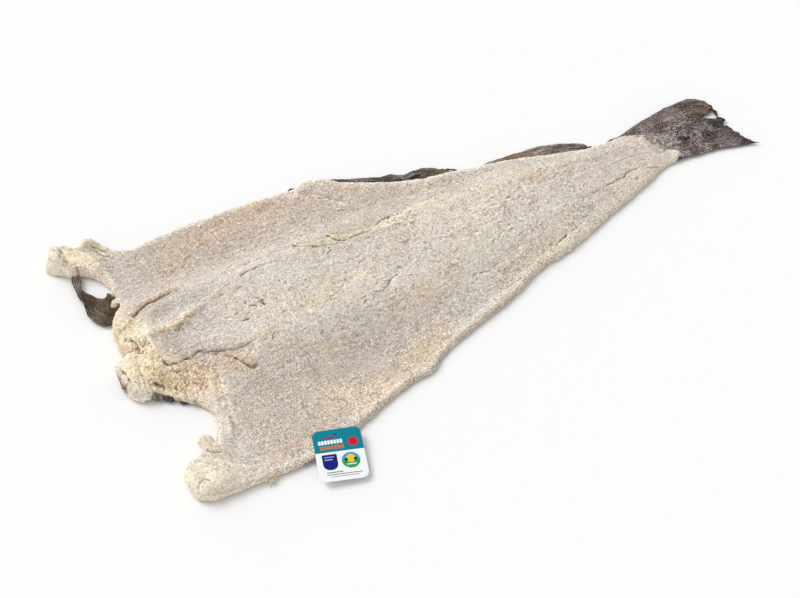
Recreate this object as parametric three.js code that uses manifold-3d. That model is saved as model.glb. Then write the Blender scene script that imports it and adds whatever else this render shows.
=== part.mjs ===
// A salted, dried cod: headless, split along the belly, opened flat and lying skin side down,
// with a small card label tucked over one edge.
//
// Millimetres. +X runs from the neck to the tail fin, +Y to the flank that keeps the two
// belly fins, +Z up. Every shape is drawn with its zero under the middle of the cut neck, and the
// finished part is moved so that its origin is the middle of its footprint, on the ground.

import * as THREE from "three";
import Module from "manifold-3d";

const wasm = await Module();
wasm.setup();

// ---------------------------------------------------------------- driving dimensions

const FLESH_STEP = 7.6; // spacing of the facets on the upper face
const SKIN_STEP = 19; // spacing of the facets underneath, which is nearly flat
const FIN_STEP = 9;
const FIN_THICKNESS = 2.6;
const RIM_LIFT = 1.2; // how far the drying edge curls off the ground
const LIFT_REACH = 20; // how far in from the edge the curl starts
const RAY_RELIEF = 0.5; // height of the rays that fan out over a fin

const LABEL_WIDTH = 46;
const LABEL_HEIGHT = 57;
const LABEL_CORNER = 7;
const LABEL_THICKNESS = 0.6;
const LABEL_TOP_MIDDLE = [112, -178]; // on the near flap
const LABEL_TURN = -23; // degrees from +X to the label's own left-to-right direction
const LABEL_GAP = 0.5; // clearance over the flesh and over the ground
const BEND_MIDDLE = [105, -189]; // where the card leaves the flap
const BEND_TURN = 13; // degrees from +X to the edge it bends over
const BEND_RADIUS = 8;
const LABEL_SLOPE = 0.172; // fall of the card beyond the bend

// How thick the flesh is along the fish: station x, thickness at the loins, the middle of the
// loins in y, their half width, and the thickness of the flaps outside them.
const SECTIONS = [
  { x: -45, loin: 19, middle: 4, half: 54, flap: 8 },
  { x: 0, loin: 24, middle: 5, half: 64, flap: 8 },
  { x: 60, loin: 27, middle: -2, half: 76, flap: 7 },
  { x: 150, loin: 28, middle: -10, half: 84, flap: 7 },
  { x: 250, loin: 26, middle: -14, half: 82, flap: 7 },
  { x: 340, loin: 22, middle: -16, half: 74, flap: 9 },
  { x: 450, loin: 19, middle: -11, half: 60, flap: 9 },
  { x: 550, loin: 15, middle: -8, half: 44, flap: 7 },
  { x: 620, loin: 10, middle: -5, half: 32, flap: 5 },
  { x: 655, loin: 6, middle: -4, half: 28, flap: 4 },
];

// ---------------------------------------------------------------- outlines
// Each outline is a ring of smooth strokes, with a corner where one stroke meets the next.

const FLESH_STROKES = [
  // a knob of membrane in the near notch, then the near ear
  [[15, -124], [9, -131], [9.5, -125], [5, -120], [-1, -121], [-3, -127], [0, -133], [-1, -140]],
  [[-1, -140], [-13, -144], [-24, -147], [-32, -156], [-33, -170], [-28, -180], [-17, -187]],
  // the near edge, from the ear to the tail
  [[-17, -187], [10, -190], [39, -193], [80, -195], [132, -183], [202, -163], [232, -160],
    [252, -148], [282, -138], [357, -118], [407, -99], [452, -91], [552, -61], [602, -45],
    [627, -37], [644, -35]],
  // where the flesh ends on the tail fin
  [[644, -35], [651, -24], [650, -6], [641, 11], [624, 25], [600, 31]],
  // the far edge, back to the neck, with a nick where the belly cut ended
  [[600, 31], [567, 33], [525, 46], [490, 60], [450, 71], [405, 82], [355, 97], [300, 127],
    [280, 143], [258, 151], [238, 147]],
  [[238, 147], [235, 142], [229, 149], [180, 154], [130, 156], [80, 156], [48, 152], [32, 152]],
  // a pinched lobe and the thick far ear
  [[32, 152], [23, 164], [15, 180], [6, 187], [-6, 178]],
  [[-6, 178], [-17, 180], [-28, 183], [-37, 178], [-44, 168], [-41, 160], [-29, 153]],
  // the far notch, the cut neck with a folded flap, and the near notch
  [[-29, 153], [-16, 146], [-4, 134], [2, 118], [3, 100], [-1, 82], [-12, 68]],
  [[-12, 68], [-19, 58], [-22, 40], [-23, 20], [-26, 2]],
  [[-26, 2], [-34, -1], [-38, -12], [-38, -28], [-33, -43], [-26, -51], [-17, -48]],
  [[-17, -48], [-5, -59], [7, -71], [17, -81], [24, -96], [22, -111], [15, -124]],
];

const TAIL_FIN_STROKES = [
  [[590, 20], [612, 32], [640, 38], [668, 42], [702, 45], [731, 43], [748, 34], [749, 24], [735, 13]],
  [[735, 13], [724, 7], [742, 1]],
  [[742, 1], [738, -20], [742, -40], [750, -57]],
  [[750, -57], [708, -46], [680, -43], [650, -39], [630, -32]],
  [[630, -32], [608, -8], [590, 20]],
];
const FIRST_BELLY_FIN_STROKES = [
  [[420, 78], [406, 93], [392, 103], [372, 109], [350, 112], [318, 126], [286, 143]],
  [[286, 143], [302, 116], [355, 84], [420, 70]],
  [[420, 70], [420, 78]],
];
const SECOND_BELLY_FIN_STROKES = [
  [[568, 30], [571, 40], [554, 57], [526, 67], [496, 73], [455, 74]],
  [[455, 74], [496, 46], [568, 24]],
  [[568, 24], [568, 30]],
];
const BREAST_FIN_STROKES = [
  // from under the far ear, down past the notch, and back under the neck
  [[-19, 160], [-27, 150], [-30, 138], [-29, 126], [-27, 120], [-32, 108], [-33, 90], [-30, 74],
    [-22, 64], [-8, 60], [8, 58]],
  [[8, 58], [8, 78], [8, 92]],
  [[8, 92], [-6, 93], [-14, 99], [-22, 112], [-22, 124], [-21, 138], [-12, 152]],
  [[-12, 152], [-19, 160]],
];

// ---------------------------------------------------------------- relief of the flesh

// Height and rounding of the edge near each place: the rim stands up square to `rim`, and
// rounds over into the flesh within `round`.
const EDGES = [
  { at: [-24, 30], rim: 12, round: 22 }, // cut face of the neck
  { at: [-37, -20], rim: 9, round: 20 },
  { at: [4, -67], rim: 9, round: 14 },
  { at: [23, -105], rim: 6, round: 7 },
  { at: [3, -125], rim: 7, round: 5 },
  { at: [-31, -165], rim: 10, round: 10 },
  { at: [20, -191], rim: 8, round: 9 },
  { at: [130, -184], rim: 5, round: 7 },
  { at: [250, -149], rim: 5, round: 8 },
  { at: [357, -118], rim: 5, round: 14 },
  { at: [500, -77], rim: 5, round: 14 },
  { at: [630, -36], rim: 3, round: 12 },
  { at: [648, 0], rim: 4, round: 12 },
  { at: [550, 36], rim: 5, round: 12 },
  { at: [400, 81], rim: 5, round: 12 },
  { at: [290, 133], rim: 5, round: 8 },
  { at: [130, 154], rim: 5, round: 6 },
  { at: [6, 180], rim: 10, round: 5 },
  { at: [-38, 180], rim: 20, round: 6 },
  { at: [-38, 158], rim: 19, round: 6 },
  { at: [-6, 136], rim: 15, round: 9 },
  { at: [3, 102], rim: 8, round: 10 },
  { at: [-12, 68], rim: 10, round: 14 },
];

// Broad swellings and hollows: middle, height, and reach along x and y.
const MOUNDS = [
  { at: [-30, 170], height: 18, reach: [24, 22] }, // far ear
  { at: [-4, 146], height: 8, reach: [16, 20] },
  { at: [5, 176], height: 7, reach: [9, 8] }, // pinched lobe
  { at: [-14, -166], height: 8, reach: [30, 26] }, // near ear
  { at: [3, 31], height: 3, reach: [12, 9] }, // knuckle of the neck
  { at: [-30, -22], height: 4, reach: [8, 20] }, // folded neck flap
  { at: [22, -52], height: -5, reach: [26, 18] }, // torn hollow beside the neck
  { at: [215, 95], height: 2.5, reach: [60, 26] },
  { at: [180, -120], height: 2, reach: [70, 22] },
  { at: [30, 52], height: -3, reach: [26, 10] },
];

// Folds stand up and creases sink in along a line: its stations, height, and half width.
const FOLDS = [
  { line: [[-6, 48], [2, 59], [20, 70], [56, 72]], height: 4, half: 6 },
  { line: [[5, 28], [25, 23], [45, 26], [80, 38], [105, 50]], height: 4.5, half: 7 },
  { line: [[127, 48], [160, 46], [230, 37], [282, 32], [330, 46]], height: 2.2, half: 7 },
  { line: [[39, -64], [31, -90], [27, -112], [25, -132]], height: 2.6, half: 4.5 },
  { line: [[52, -66], [44, -92], [40, -122]], height: 1.6, half: 5 },
  { line: [[390, 28], [450, 25], [520, 19], [600, 11], [640, 3]], height: 1.8, half: 8 },
  { line: [[236, 150], [258, 140], [278, 122], [292, 104]], height: 2.2, half: 7 },
];
const CREASES = [
  { line: [[118, 56], [150, 56], [190, 52], [230, 46], [280, 41], [328, 57]], height: -5, half: 4.5 },
  { line: [[-4, -10], [28, -20], [55, -30], [80, -40], [128, -46]], height: -4, half: 4.5 },
  { line: [[62, -44], [74, -54], [84, -72]], height: -4.5, half: 5 },
  { line: [[-16, 6], [-4, 12], [4, 16]], height: -5, half: 4.5 },
  { line: [[-22, -2], [-24, -20], [-20, -40]], height: -4, half: 4.5 },
  { line: [[236, 140], [250, 130], [266, 114], [282, 94]], height: -2.5, half: 4.5 },
  { line: [[500, -42], [552, -36], [600, -27], [618, -34]], height: -2, half: 4.5 },
  { line: [[356, -104], [400, -90], [436, -82]], height: -2, half: 4.5 },
  { line: [[240, -48], [258, -36], [276, -30]], height: -2.5, half: 4.5 },
  { line: [[-26, 168], [-22, 158], [-20, 150]], height: -4, half: 4 },
];

// ---------------------------------------------------------------- flat geometry

const vector = ([x, y]) => new THREE.Vector2(x, y);

/** Even steps along a smooth open curve through the stations, without its last point. */
function strokePoints(stations, step) {
  const curve = new THREE.SplineCurve(stations.map(vector));
  const leastSteps = stations.length > 4 ? stations.length : 2;
  const steps = Math.max(leastSteps, Math.round(curve.getLength() / step));
  return curve.getSpacedPoints(steps).slice(0, -1);
}

/** The points of a whole outline, counter-clockwise from above. */
function outlineOf(strokes, step) {
  const points = strokes.flatMap((stations) => strokePoints(stations, step));
  return THREE.ShapeUtils.isClockWise(points) ? points.reverse() : points;
}

function distanceToSegment(point, start, end) {
  const along = end.clone().sub(start);
  const share = point.clone().sub(start).dot(along) / along.lengthSq();
  return point.distanceTo(along.multiplyScalar(THREE.MathUtils.clamp(share, 0, 1)).add(start));
}

function distanceToLine(point, line, closed = false) {
  let nearest = Infinity;
  for (let i = closed ? 0 : 1; i < line.length; i += 1) {
    const start = line[(i + line.length - 1) % line.length];
    nearest = Math.min(nearest, distanceToSegment(point, start, line[i]));
  }
  return nearest;
}

function isInside(point, outline) {
  let inside = false;
  outline.forEach((b, i) => {
    const a = outline[(i + outline.length - 1) % outline.length];
    const straddles = a.y > point.y !== b.y > point.y;
    if (straddles && point.x < ((b.x - a.x) * (point.y - a.y)) / (b.y - a.y) + a.x) inside = !inside;
  });
  return inside;
}

/** Bowyer-Watson Delaunay triangulation: counter-clockwise index triples. */
function delaunay(points) {
  const FAR = 1e5;
  const hull = [[-FAR, -FAR], [FAR, -FAR], [0, FAR]].map(vector);
  const all = [...points, ...hull];
  const withCircle = (a, b, c) => {
    const [p, q, r] = [all[a], all[b], all[c]];
    const pq = q.clone().sub(p);
    const pr = r.clone().sub(p);
    const doubleCross = 2 * pq.cross(pr);
    const centre = new THREE.Vector2(
      (pr.y * pq.lengthSq() - pq.y * pr.lengthSq()) / doubleCross,
      (pq.x * pr.lengthSq() - pr.x * pq.lengthSq()) / doubleCross,
    );
    return { corners: [a, b, c], radiusSq: centre.lengthSq(), centre: centre.add(p) };
  };
  let triangles = [withCircle(points.length, points.length + 1, points.length + 2)];
  points.forEach((point, index) => {
    const loose = new Map();
    triangles = triangles.filter(({ corners, centre, radiusSq }) => {
      if (point.distanceToSquared(centre) >= radiusSq) return true;
      corners.forEach((from, i) => {
        const to = corners[(i + 1) % 3];
        if (!loose.delete(`${to},${from}`)) loose.set(`${from},${to}`, [from, to]);
      });
      return false;
    });
    for (const [from, to] of loose.values()) triangles.push(withCircle(from, to, index));
  });
  return triangles.map(({ corners }) => corners).filter((corners) => corners.every((c) => c < points.length));
}

/** Facets that fill an outline: its own points first, then the seams' points, then a loose lattice. */
function fill(outline, step, seams) {
  const box = new THREE.Box2().setFromPoints(outline);
  const rowStep = step * Math.sin(Math.PI / 3);
  const seamPoints = seams
    .flatMap(({ line }) => strokePoints(line, step * 0.9))
    .filter((point) => isInside(point, outline) && distanceToLine(point, outline, true) > step * 0.6);
  const lattice = [];
  const wander = () => (THREE.MathUtils.seededRandom() - 0.5) * step * 0.25;
  for (let y = box.min.y, row = 0; y < box.max.y; y += rowStep, row += 1) {
    for (let x = box.min.x + (row % 2) * (step / 2); x < box.max.x; x += step) {
      const point = new THREE.Vector2(x + wander(), y + wander());
      const crowded = seamPoints.some((seam) => seam.distanceTo(point) < step * 0.6);
      if (crowded || !isInside(point, outline)) continue;
      if (distanceToLine(point, outline, true) > step * 0.6) lattice.push(point);
    }
  }
  const points = [...outline, ...seamPoints, ...lattice];
  const triangles = delaunay(points).filter((corners) => {
    const middle = new THREE.Vector2();
    for (const corner of corners) middle.add(points[corner]);
    return isInside(middle.divideScalar(3), outline);
  });
  return { points, triangles };
}

// ---------------------------------------------------------------- solids

/** A closed solid over an outline, between a bottom height and a top height given by (x, y). */
function slab({ strokes, step, bottomStep = step, seams = [], bottom, top }) {
  THREE.MathUtils.seededRandom(1);
  const outline = outlineOf(strokes, step);
  const upper = fill(outline, step, seams);
  const lower = fill(outline, bottomStep, []);
  const lowerStart = upper.points.length;
  const vertices = [
    ...upper.points.flatMap((point) => [point.x, point.y, top(point, outline)]),
    ...lower.points.flatMap((point) => [point.x, point.y, bottom(point, outline)]),
  ];
  const triangles = [
    ...upper.triangles.flat(),
    ...lower.triangles.flatMap(([a, b, c]) => [lowerStart + a, lowerStart + c, lowerStart + b]),
  ];
  outline.forEach((_, a) => {
    const b = (a + 1) % outline.length;
    triangles.push(lowerStart + a, lowerStart + b, b, lowerStart + a, b, a);
  });
  return { vertices, triangles };
}

const solidOf = ({ vertices, triangles }) =>
  new wasm.Manifold(
    new wasm.Mesh({
      numProp: 3,
      vertProperties: Float32Array.from(vertices),
      triVerts: Uint32Array.from(triangles),
    }),
  );

function geometryOf({ vertices, triangles }) {
  const geometry = new THREE.BufferGeometry();
  geometry.setAttribute("position", new THREE.Float32BufferAttribute(vertices, 3));
  geometry.setIndex([...triangles]);
  geometry.computeVertexNormals();
  return geometry;
}

// ---------------------------------------------------------------- the flesh

const { smoothstep, lerp } = THREE.MathUtils;

function sectionAt(x) {
  const next = SECTIONS.findIndex((section) => section.x > x);
  if (next <= 0) return next < 0 ? SECTIONS.at(-1) : SECTIONS[0];
  const [before, after] = [SECTIONS[next - 1], SECTIONS[next]];
  const share = (x - before.x) / (after.x - before.x);
  const blend = (name) => lerp(before[name], after[name], share);
  return { loin: blend("loin"), middle: blend("middle"), half: blend("half"), flap: blend("flap") };
}

/** Rim height and rounding at a point, as the average of EDGES weighted to the nearest. */
function edgeAt(point) {
  let [rim, round, total] = [0, 0, 0];
  for (const edge of EDGES) {
    const weight = 1 / (1 + point.distanceToSquared(vector(edge.at))) ** 2;
    rim += weight * edge.rim;
    round += weight * edge.round;
    total += weight;
  }
  return { rim: rim / total, round: round / total };
}

const bell = (distance, reach) => Math.exp(-((distance / reach) ** 2));

const SEAM_CURVES = [...FOLDS, ...CREASES].map(({ line, height, half }) => ({
  points: new THREE.SplineCurve(line.map(vector)).getPoints(4 * line.length),
  height,
  half,
}));

function fleshDepth(point, inset) {
  const { loin, middle, half, flap } = sectionAt(point.x);
  const aside = Math.abs(point.y - middle) / half;
  let depth = flap + (loin - flap) * (1 - smoothstep(aside, 0.45, 1.35));
  for (const { at, height, reach } of MOUNDS) {
    depth += height * bell(Math.hypot((point.x - at[0]) / reach[0], (point.y - at[1]) / reach[1]), 1);
  }
  for (const { points, height, half: seamHalf } of SEAM_CURVES) {
    depth += height * bell(distanceToLine(point, points), seamHalf);
  }
  const { rim, round } = edgeAt(point);
  const inward = 1 - Math.min(inset / round, 1);
  return lerp(Math.min(rim, depth), depth, Math.sqrt(1 - inward * inward));
}

const curlAt = (inset) => RIM_LIFT * (1 - smoothstep(inset, 0, LIFT_REACH));

const skinHeight = (point, outline) => curlAt(distanceToLine(point, outline, true));

function fleshHeight(point, outline) {
  const inset = distanceToLine(point, outline, true);
  return curlAt(inset) + fleshDepth(point, inset);
}

const flesh = slab({
  strokes: FLESH_STROKES,
  step: FLESH_STEP,
  bottomStep: SKIN_STEP,
  seams: [...FOLDS, ...CREASES],
  bottom: skinHeight,
  top: fleshHeight,
});

// ---------------------------------------------------------------- the fins

/** A thin fin whose middle height is a plane, with rays fanning out from a root point. */
function fin({ strokes, step = FIN_STEP, root, rays, plane }) {
  const middleHeight = ({ x, y }) => plane.height + plane.alongX * x + plane.alongY * y;
  const rayHeight = ({ x, y }) => RAY_RELIEF * Math.cos(rays * Math.atan2(y - root[1], x - root[0]));
  return slab({
    strokes,
    step,
    bottom: (point) => middleHeight(point) - FIN_THICKNESS / 2,
    top: (point) => middleHeight(point) + FIN_THICKNESS / 2 + rayHeight(point),
  });
}

const fins = [
  fin({
    strokes: TAIL_FIN_STROKES,
    root: [560, -4],
    rays: 60,
    plane: { height: 4.2, alongX: 0, alongY: 0.045 },
  }),
  fin({
    strokes: FIRST_BELLY_FIN_STROKES,
    root: [230, 60],
    rays: 50,
    plane: { height: 3.4, alongX: 0, alongY: 0 },
  }),
  fin({
    strokes: SECOND_BELLY_FIN_STROKES,
    root: [420, 10],
    rays: 50,
    plane: { height: 3.6, alongX: 0, alongY: 0 },
  }),
  fin({
    strokes: BREAST_FIN_STROKES,
    step: 6,
    root: [-30, 150],
    rays: 30,
    plane: { height: 3.2, alongX: 0, alongY: 0 },
  }),
];

const cod = [flesh, ...fins].map(solidOf).reduce((whole, piece) => whole.add(piece));
const codMesh = cod.getMesh();

// ---------------------------------------------------------------- the label

const turned = (degrees) => {
  const angle = THREE.MathUtils.degToRad(degrees);
  return new THREE.Vector2(Math.cos(angle), Math.sin(angle));
};
const across = turned(LABEL_TURN);
const down = turned(LABEL_TURN - 90);
const offEdge = turned(BEND_TURN - 90);
const fleshOutline = outlineOf(FLESH_STROKES, FLESH_STEP);

/** How far the card has sunk below its height on the flap, bending softly where it leaves it. */
function labelDroop(point) {
  const beyond = point.clone().sub(vector(BEND_MIDDLE)).dot(offEdge);
  return (LABEL_SLOPE * (beyond + Math.hypot(beyond, BEND_RADIUS))) / 2;
}

/** The card's height where it is flat on the flap: clear of the highest flesh under it. */
function labelRest() {
  let rest = 0;
  for (let side = -LABEL_WIDTH / 2; side <= LABEL_WIDTH / 2; side += 2) {
    for (let run = 0; run <= LABEL_HEIGHT; run += 2) {
      const under = vector(LABEL_TOP_MIDDLE).addScaledVector(across, side).addScaledVector(down, run);
      if (!isInside(under, fleshOutline)) continue;
      rest = Math.max(rest, fleshHeight(under, fleshOutline) + LABEL_GAP + labelDroop(under));
    }
  }
  return rest;
}

const restHeight = labelRest();
const labelHeight = (point) => Math.max(restHeight - labelDroop(point), LABEL_GAP);

/** One straight side and one rounded corner, then the next, counter-clockwise. */
function labelStrokes() {
  const middle = vector(LABEL_TOP_MIDDLE).addScaledVector(down, LABEL_HEIGHT / 2);
  const place = (a, b) => {
    const point = middle.clone().addScaledVector(across, a).addScaledVector(down, -b);
    return [point.x, point.y];
  };
  const [w, h, r] = [LABEL_WIDTH / 2, LABEL_HEIGHT / 2, LABEL_CORNER];
  const bend = r * (1 - Math.SQRT1_2);
  return [
    [[-w + r, -h], [w - r, -h]],
    [[w - r, -h], [w - bend, -h + bend], [w, -h + r]],
    [[w, -h + r], [w, h - r]],
    [[w, h - r], [w - bend, h - bend], [w - r, h]],
    [[w - r, h], [-w + r, h]],
    [[-w + r, h], [-w + bend, h - bend], [-w, h - r]],
    [[-w, h - r], [-w, -h + r]],
    [[-w, -h + r], [-w + bend, -h + bend], [-w + r, -h]],
  ].map((stroke) => stroke.map(([a, b]) => place(a, b)));
}

const label = slab({
  strokes: labelStrokes(),
  step: 5,
  bottom: labelHeight,
  top: (point) => labelHeight(point) + LABEL_THICKNESS,
});

// ---------------------------------------------------------------- the part

const fleshMaterial = new THREE.MeshStandardMaterial({ color: 0xd9cdbb, roughness: 0.9, metalness: 0 });
const cardMaterial = new THREE.MeshStandardMaterial({ color: 0x2f8796, roughness: 0.45, metalness: 0 });

const codPiece = new THREE.Mesh(
  geometryOf({ vertices: codMesh.vertProperties, triangles: codMesh.triVerts }),
  fleshMaterial,
);
codPiece.name = "cod";
const labelPiece = new THREE.Mesh(geometryOf(label), cardMaterial);
labelPiece.name = "label";

const part = new THREE.Group();
part.add(codPiece, labelPiece);
const size = new THREE.Box3().setFromObject(part);
const footprint = size.getCenter(new THREE.Vector3());
part.position.set(-footprint.x, -footprint.y, -size.min.z);

export default part;
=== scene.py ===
"""The looks of a salted, dried cod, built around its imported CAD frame.

Shapes are made in millimetres in the fish's own frame: +X runs from the cut neck to the tail, +Y to
the flank with the belly fins, +Z up, with zero under the middle of the neck. in_frame() moves them
to the CAD frame.
"""

from itertools import combinations

import bpy
import numpy as np
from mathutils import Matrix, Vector, kdtree
from mathutils.geometry import delaunay_2d_cdt


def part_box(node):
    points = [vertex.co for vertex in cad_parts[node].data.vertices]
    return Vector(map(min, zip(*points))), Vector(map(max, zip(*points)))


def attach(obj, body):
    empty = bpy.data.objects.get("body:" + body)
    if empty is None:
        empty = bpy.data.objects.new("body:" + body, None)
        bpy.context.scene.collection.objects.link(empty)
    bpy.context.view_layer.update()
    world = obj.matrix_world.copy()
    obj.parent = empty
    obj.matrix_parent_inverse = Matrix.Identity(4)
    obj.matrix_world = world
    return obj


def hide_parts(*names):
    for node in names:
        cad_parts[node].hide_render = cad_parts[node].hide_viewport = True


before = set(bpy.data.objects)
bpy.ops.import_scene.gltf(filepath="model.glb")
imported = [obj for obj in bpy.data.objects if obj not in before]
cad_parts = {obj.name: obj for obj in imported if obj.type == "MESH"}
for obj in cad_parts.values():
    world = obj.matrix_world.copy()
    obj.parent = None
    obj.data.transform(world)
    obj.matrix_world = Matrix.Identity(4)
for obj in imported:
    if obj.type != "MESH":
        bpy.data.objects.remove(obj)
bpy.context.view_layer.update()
RANDOM = np.random.RandomState(7)

# The fish's lowest x and highest y in its own frame, which the CAD node's box fixes in the row frame.
FISH_LOW_X, FISH_HIGH_Y = -44.02, 186.98
cod_low, cod_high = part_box("cod")
SHIFT = np.array([cod_low.x * 1000 - FISH_LOW_X, cod_high.y * 1000 - FISH_HIGH_Y, 0.0])


def in_frame(points):
    """Fish-frame points in mm as points of the CAD frame in metres."""
    return (np.asarray(points, float) + SHIFT) / 1000


# ------------------------------------------------------------------ colours

# The flesh's colours in sRGB, by the names that the tables below use.
PALETTE = {
    "flesh": (214, 206, 197),
    "grey": (196, 186, 179),
    "flap": (186, 168, 147),
    "cream": (230, 214, 190),
    "pale": (250, 240, 219),
    "butter": (254, 236, 202),
    "peach": (247, 214, 182),
    "warm": (216, 198, 174),
    "dusk": (174, 164, 152),
    "pink": (216, 189, 168),
    "tan": (205, 170, 132),
    "orange": (212, 160, 108),
    "olive": (196, 186, 140),
    "yellow": (212, 194, 128),
    "green": (205, 199, 176),
    "brown": (122, 96, 72),
    "dark": (78, 60, 48),
    "blood": (120, 66, 52),
    "gill": (70, 58, 56),
    "slate": (128, 122, 118),
}


def linear(rgb):
    """The linear colour of an sRGB one."""
    c = np.asarray(rgb, float) / 255
    return np.where(c <= 0.04045, c / 12.92, ((c + 0.055) / 1.055) ** 2.4)


def coat(rgb, count):
    """One colour for each of count vertices, in linear values."""
    return np.tile(linear(rgb), (count, 1))


def mix(colour, other, amount):
    """Mixes one linear colour, or one for each row, into an (n, 3) array of them."""
    colour += (other - colour) * np.clip(amount, 0, 1)[:, None]


def paint(colour, name, amount):
    """Mixes a palette colour into an (n, 3) array of linear colours."""
    mix(colour, linear(PALETTE[name]), amount)


# ------------------------------------------------------------------ curves and outlines


def spline(stations, step):
    """Even steps along a smooth open curve through the stations, both ends included."""
    p = np.array(stations, float)
    t = np.linspace(0, len(p) - 1, 40 * len(p))
    i = np.minimum(t.astype(int), len(p) - 2)
    w = (t - i)[:, None]
    p0, p1, p2, p3 = p[np.maximum(i - 1, 0)], p[i], p[i + 1], p[np.minimum(i + 2, len(p) - 1)]
    v1, v2 = (p2 - p0) / 2, (p3 - p1) / 2
    curve = (2 * p1 - 2 * p2 + v1 + v2) * w**3 + (3 * p2 - 3 * p1 - 2 * v1 - v2) * w**2 + v1 * w + p1
    run = np.concatenate([[0], np.cumsum(np.linalg.norm(np.diff(curve, axis=0), axis=1))])
    at = np.linspace(0, run[-1], max(2, round(run[-1] / step)) + 1)
    return np.column_stack([np.interp(at, run, curve[:, k]) for k in range(p.shape[1])])


def ring_of(strokes, step):
    """A closed outline from smooth strokes, counter-clockwise from above."""
    ring = np.vstack([spline(stroke, step)[:-1] for stroke in strokes])
    after = np.roll(ring, -1, 0)
    area = (ring[:, 0] * after[:, 1] - ring[:, 1] * after[:, 0]).sum()
    return ring if area > 0 else ring[::-1]


def smoothstep(value, low, high):
    """0 up to low, rising smoothly to 1 at high."""
    t = np.clip((value - low) / (high - low), 0, 1)
    return t * t * (3 - 2 * t)


def falling(value, low, high):
    """1 up to low, falling to 0 at high."""
    return 1 - smoothstep(value, low, high)


def spot(x, y, middle_x, middle_y, reach_x, reach_y, power=2):
    """1 at a spot's middle, falling to 0 around it; power 4 gives it a flat top."""
    return np.exp(-(((x - middle_x) / reach_x) ** power) - ((y - middle_y) / reach_y) ** power)


def ridge_over(away, half_width, power=2):
    """1 on a line, falling to 0 away from it."""
    return np.exp(-((away / half_width) ** power))


def on_ground(x, y):
    """Points at height 0."""
    return np.column_stack([x, y, np.zeros(len(x))])


def turned_to(angle):
    """The direction at an angle from +X in radians."""
    return np.array([np.cos(angle), np.sin(angle)])


def turned_axes(x, y, degrees):
    """Coordinates along and across a direction that is turned from +X."""
    a = np.radians(degrees)
    return x * np.cos(a) + y * np.sin(a), y * np.cos(a) - x * np.sin(a)


def noises(points, size, *seeds):
    """Noises side by side, one for each seed."""
    return np.column_stack([noise(points, size, seed) for seed in seeds])


def tree_of(points):
    """A search tree over places on the ground, or in space where points have a height."""
    tree = kdtree.KDTree(len(points))
    for i, p in enumerate(points.tolist()):
        tree.insert((*p, 0) if len(p) == 2 else p, i)
    tree.balance()
    return tree


def distances(points, tree):
    """How far each point lies on the ground from the nearest one in the tree."""
    return np.array([tree.find((*p, 0))[2] for p in points[:, :2].tolist()])


def near_line(points, line, reach):
    """Distance to a line, signed offset to its left and share of its length, within reach."""
    away = np.full(len(points), 1e3)
    side = np.zeros(len(points))
    share = np.zeros(len(points))
    xy = points[:, :2]
    close = np.flatnonzero(((xy > line.min(0) - reach) & (xy < line.max(0) + reach)).all(1))
    for k in range(len(line) - 1):
        a, b = line[k, :2], line[k + 1, :2]
        ab = b - a
        rel = xy[close] - a
        t = np.clip(rel @ ab / (ab @ ab), 0, 1)
        gap = rel - t[:, None] * ab
        d = np.hypot(gap[:, 0], gap[:, 1])
        better = d < away[close]
        chosen = close[better]
        away[chosen] = d[better]
        side[chosen] = np.sign(ab[0] * gap[better, 1] - ab[1] * gap[better, 0]) * d[better]
        share[chosen] = (k + t[better]) / (len(line) - 1)
    return away, side, share


def away_from(points, stations, reach, step=2.0):
    """Distance to a smooth line through stations, within reach."""
    return near_line(points, spline(stations, step), reach)[0]


def left_of(line):
    """Unit vectors to the left of a line at each of its points."""
    ahead = np.gradient(line[:, :2], axis=0)
    ahead /= np.maximum(np.linalg.norm(ahead, axis=1), 1e-9)[:, None]
    return np.column_stack([-ahead[:, 1], ahead[:, 0]])


def wavy(stations, sway, seed):
    """A smooth line that wanders a little from side to side, as a crack or fold does."""
    line = spline(stations, 1.1)
    p = on_ground(*line.T)
    wander = noise(p, 9, seed) + 0.7 * noise(p, 3.4, seed + 1)
    return line + left_of(line) * (sway * wander)[:, None]


def taper(share, ends):
    """1 along a line, falling to 0 at both its ends."""
    return smoothstep(share, -0.01, ends) * smoothstep(1 - share, -0.01, ends)


# ------------------------------------------------------------------ noise


def hashed(cell, salt):
    """Three pseudo-random whole numbers from 0 to 1023 for each cell of a grid."""
    h = (cell[:, 0] * 73856093) ^ (cell[:, 1] * 19349663) ^ (cell[:, 2] * 83492791) ^ salt
    for factor, shift in ((668265263, 15), (374761393, 13)):
        h = ((h ^ (h >> shift)) * factor) & 0x7FFFFFFF
    return np.column_stack([h & 1023, h >> 10 & 1023, h >> 20 & 1023])


def noise(points, size, seed):
    """Smooth gradient noise from about -1 to 1; size is the wavelength in mm, one or one per axis."""
    q = np.asarray(points, float) / size + seed * 13.7
    cell = np.floor(q).astype(np.int64)
    f = q - cell
    u = f**3 * (f * (f * 6 - 15) + 10)
    total = np.zeros(len(q))
    for corner in range(8):
        d = np.array([corner & 1, corner >> 1 & 1, corner >> 2 & 1])
        g = hashed(cell + d, seed * 97531 + 1013) / 511.5 - 1
        w = np.where(d, u, 1 - u).prod(1)
        total += w * (g * (f - d)).sum(1)
    return np.clip(total * 1.7, -1.2, 1.2)


def layered(points, size, octaves, seed):
    """Noise with finer noise on top, each half as long and half as strong as the one before."""
    return sum(noise(points, np.asarray(size) / 2**k, seed + k) / 2**k for k in range(octaves))


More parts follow.
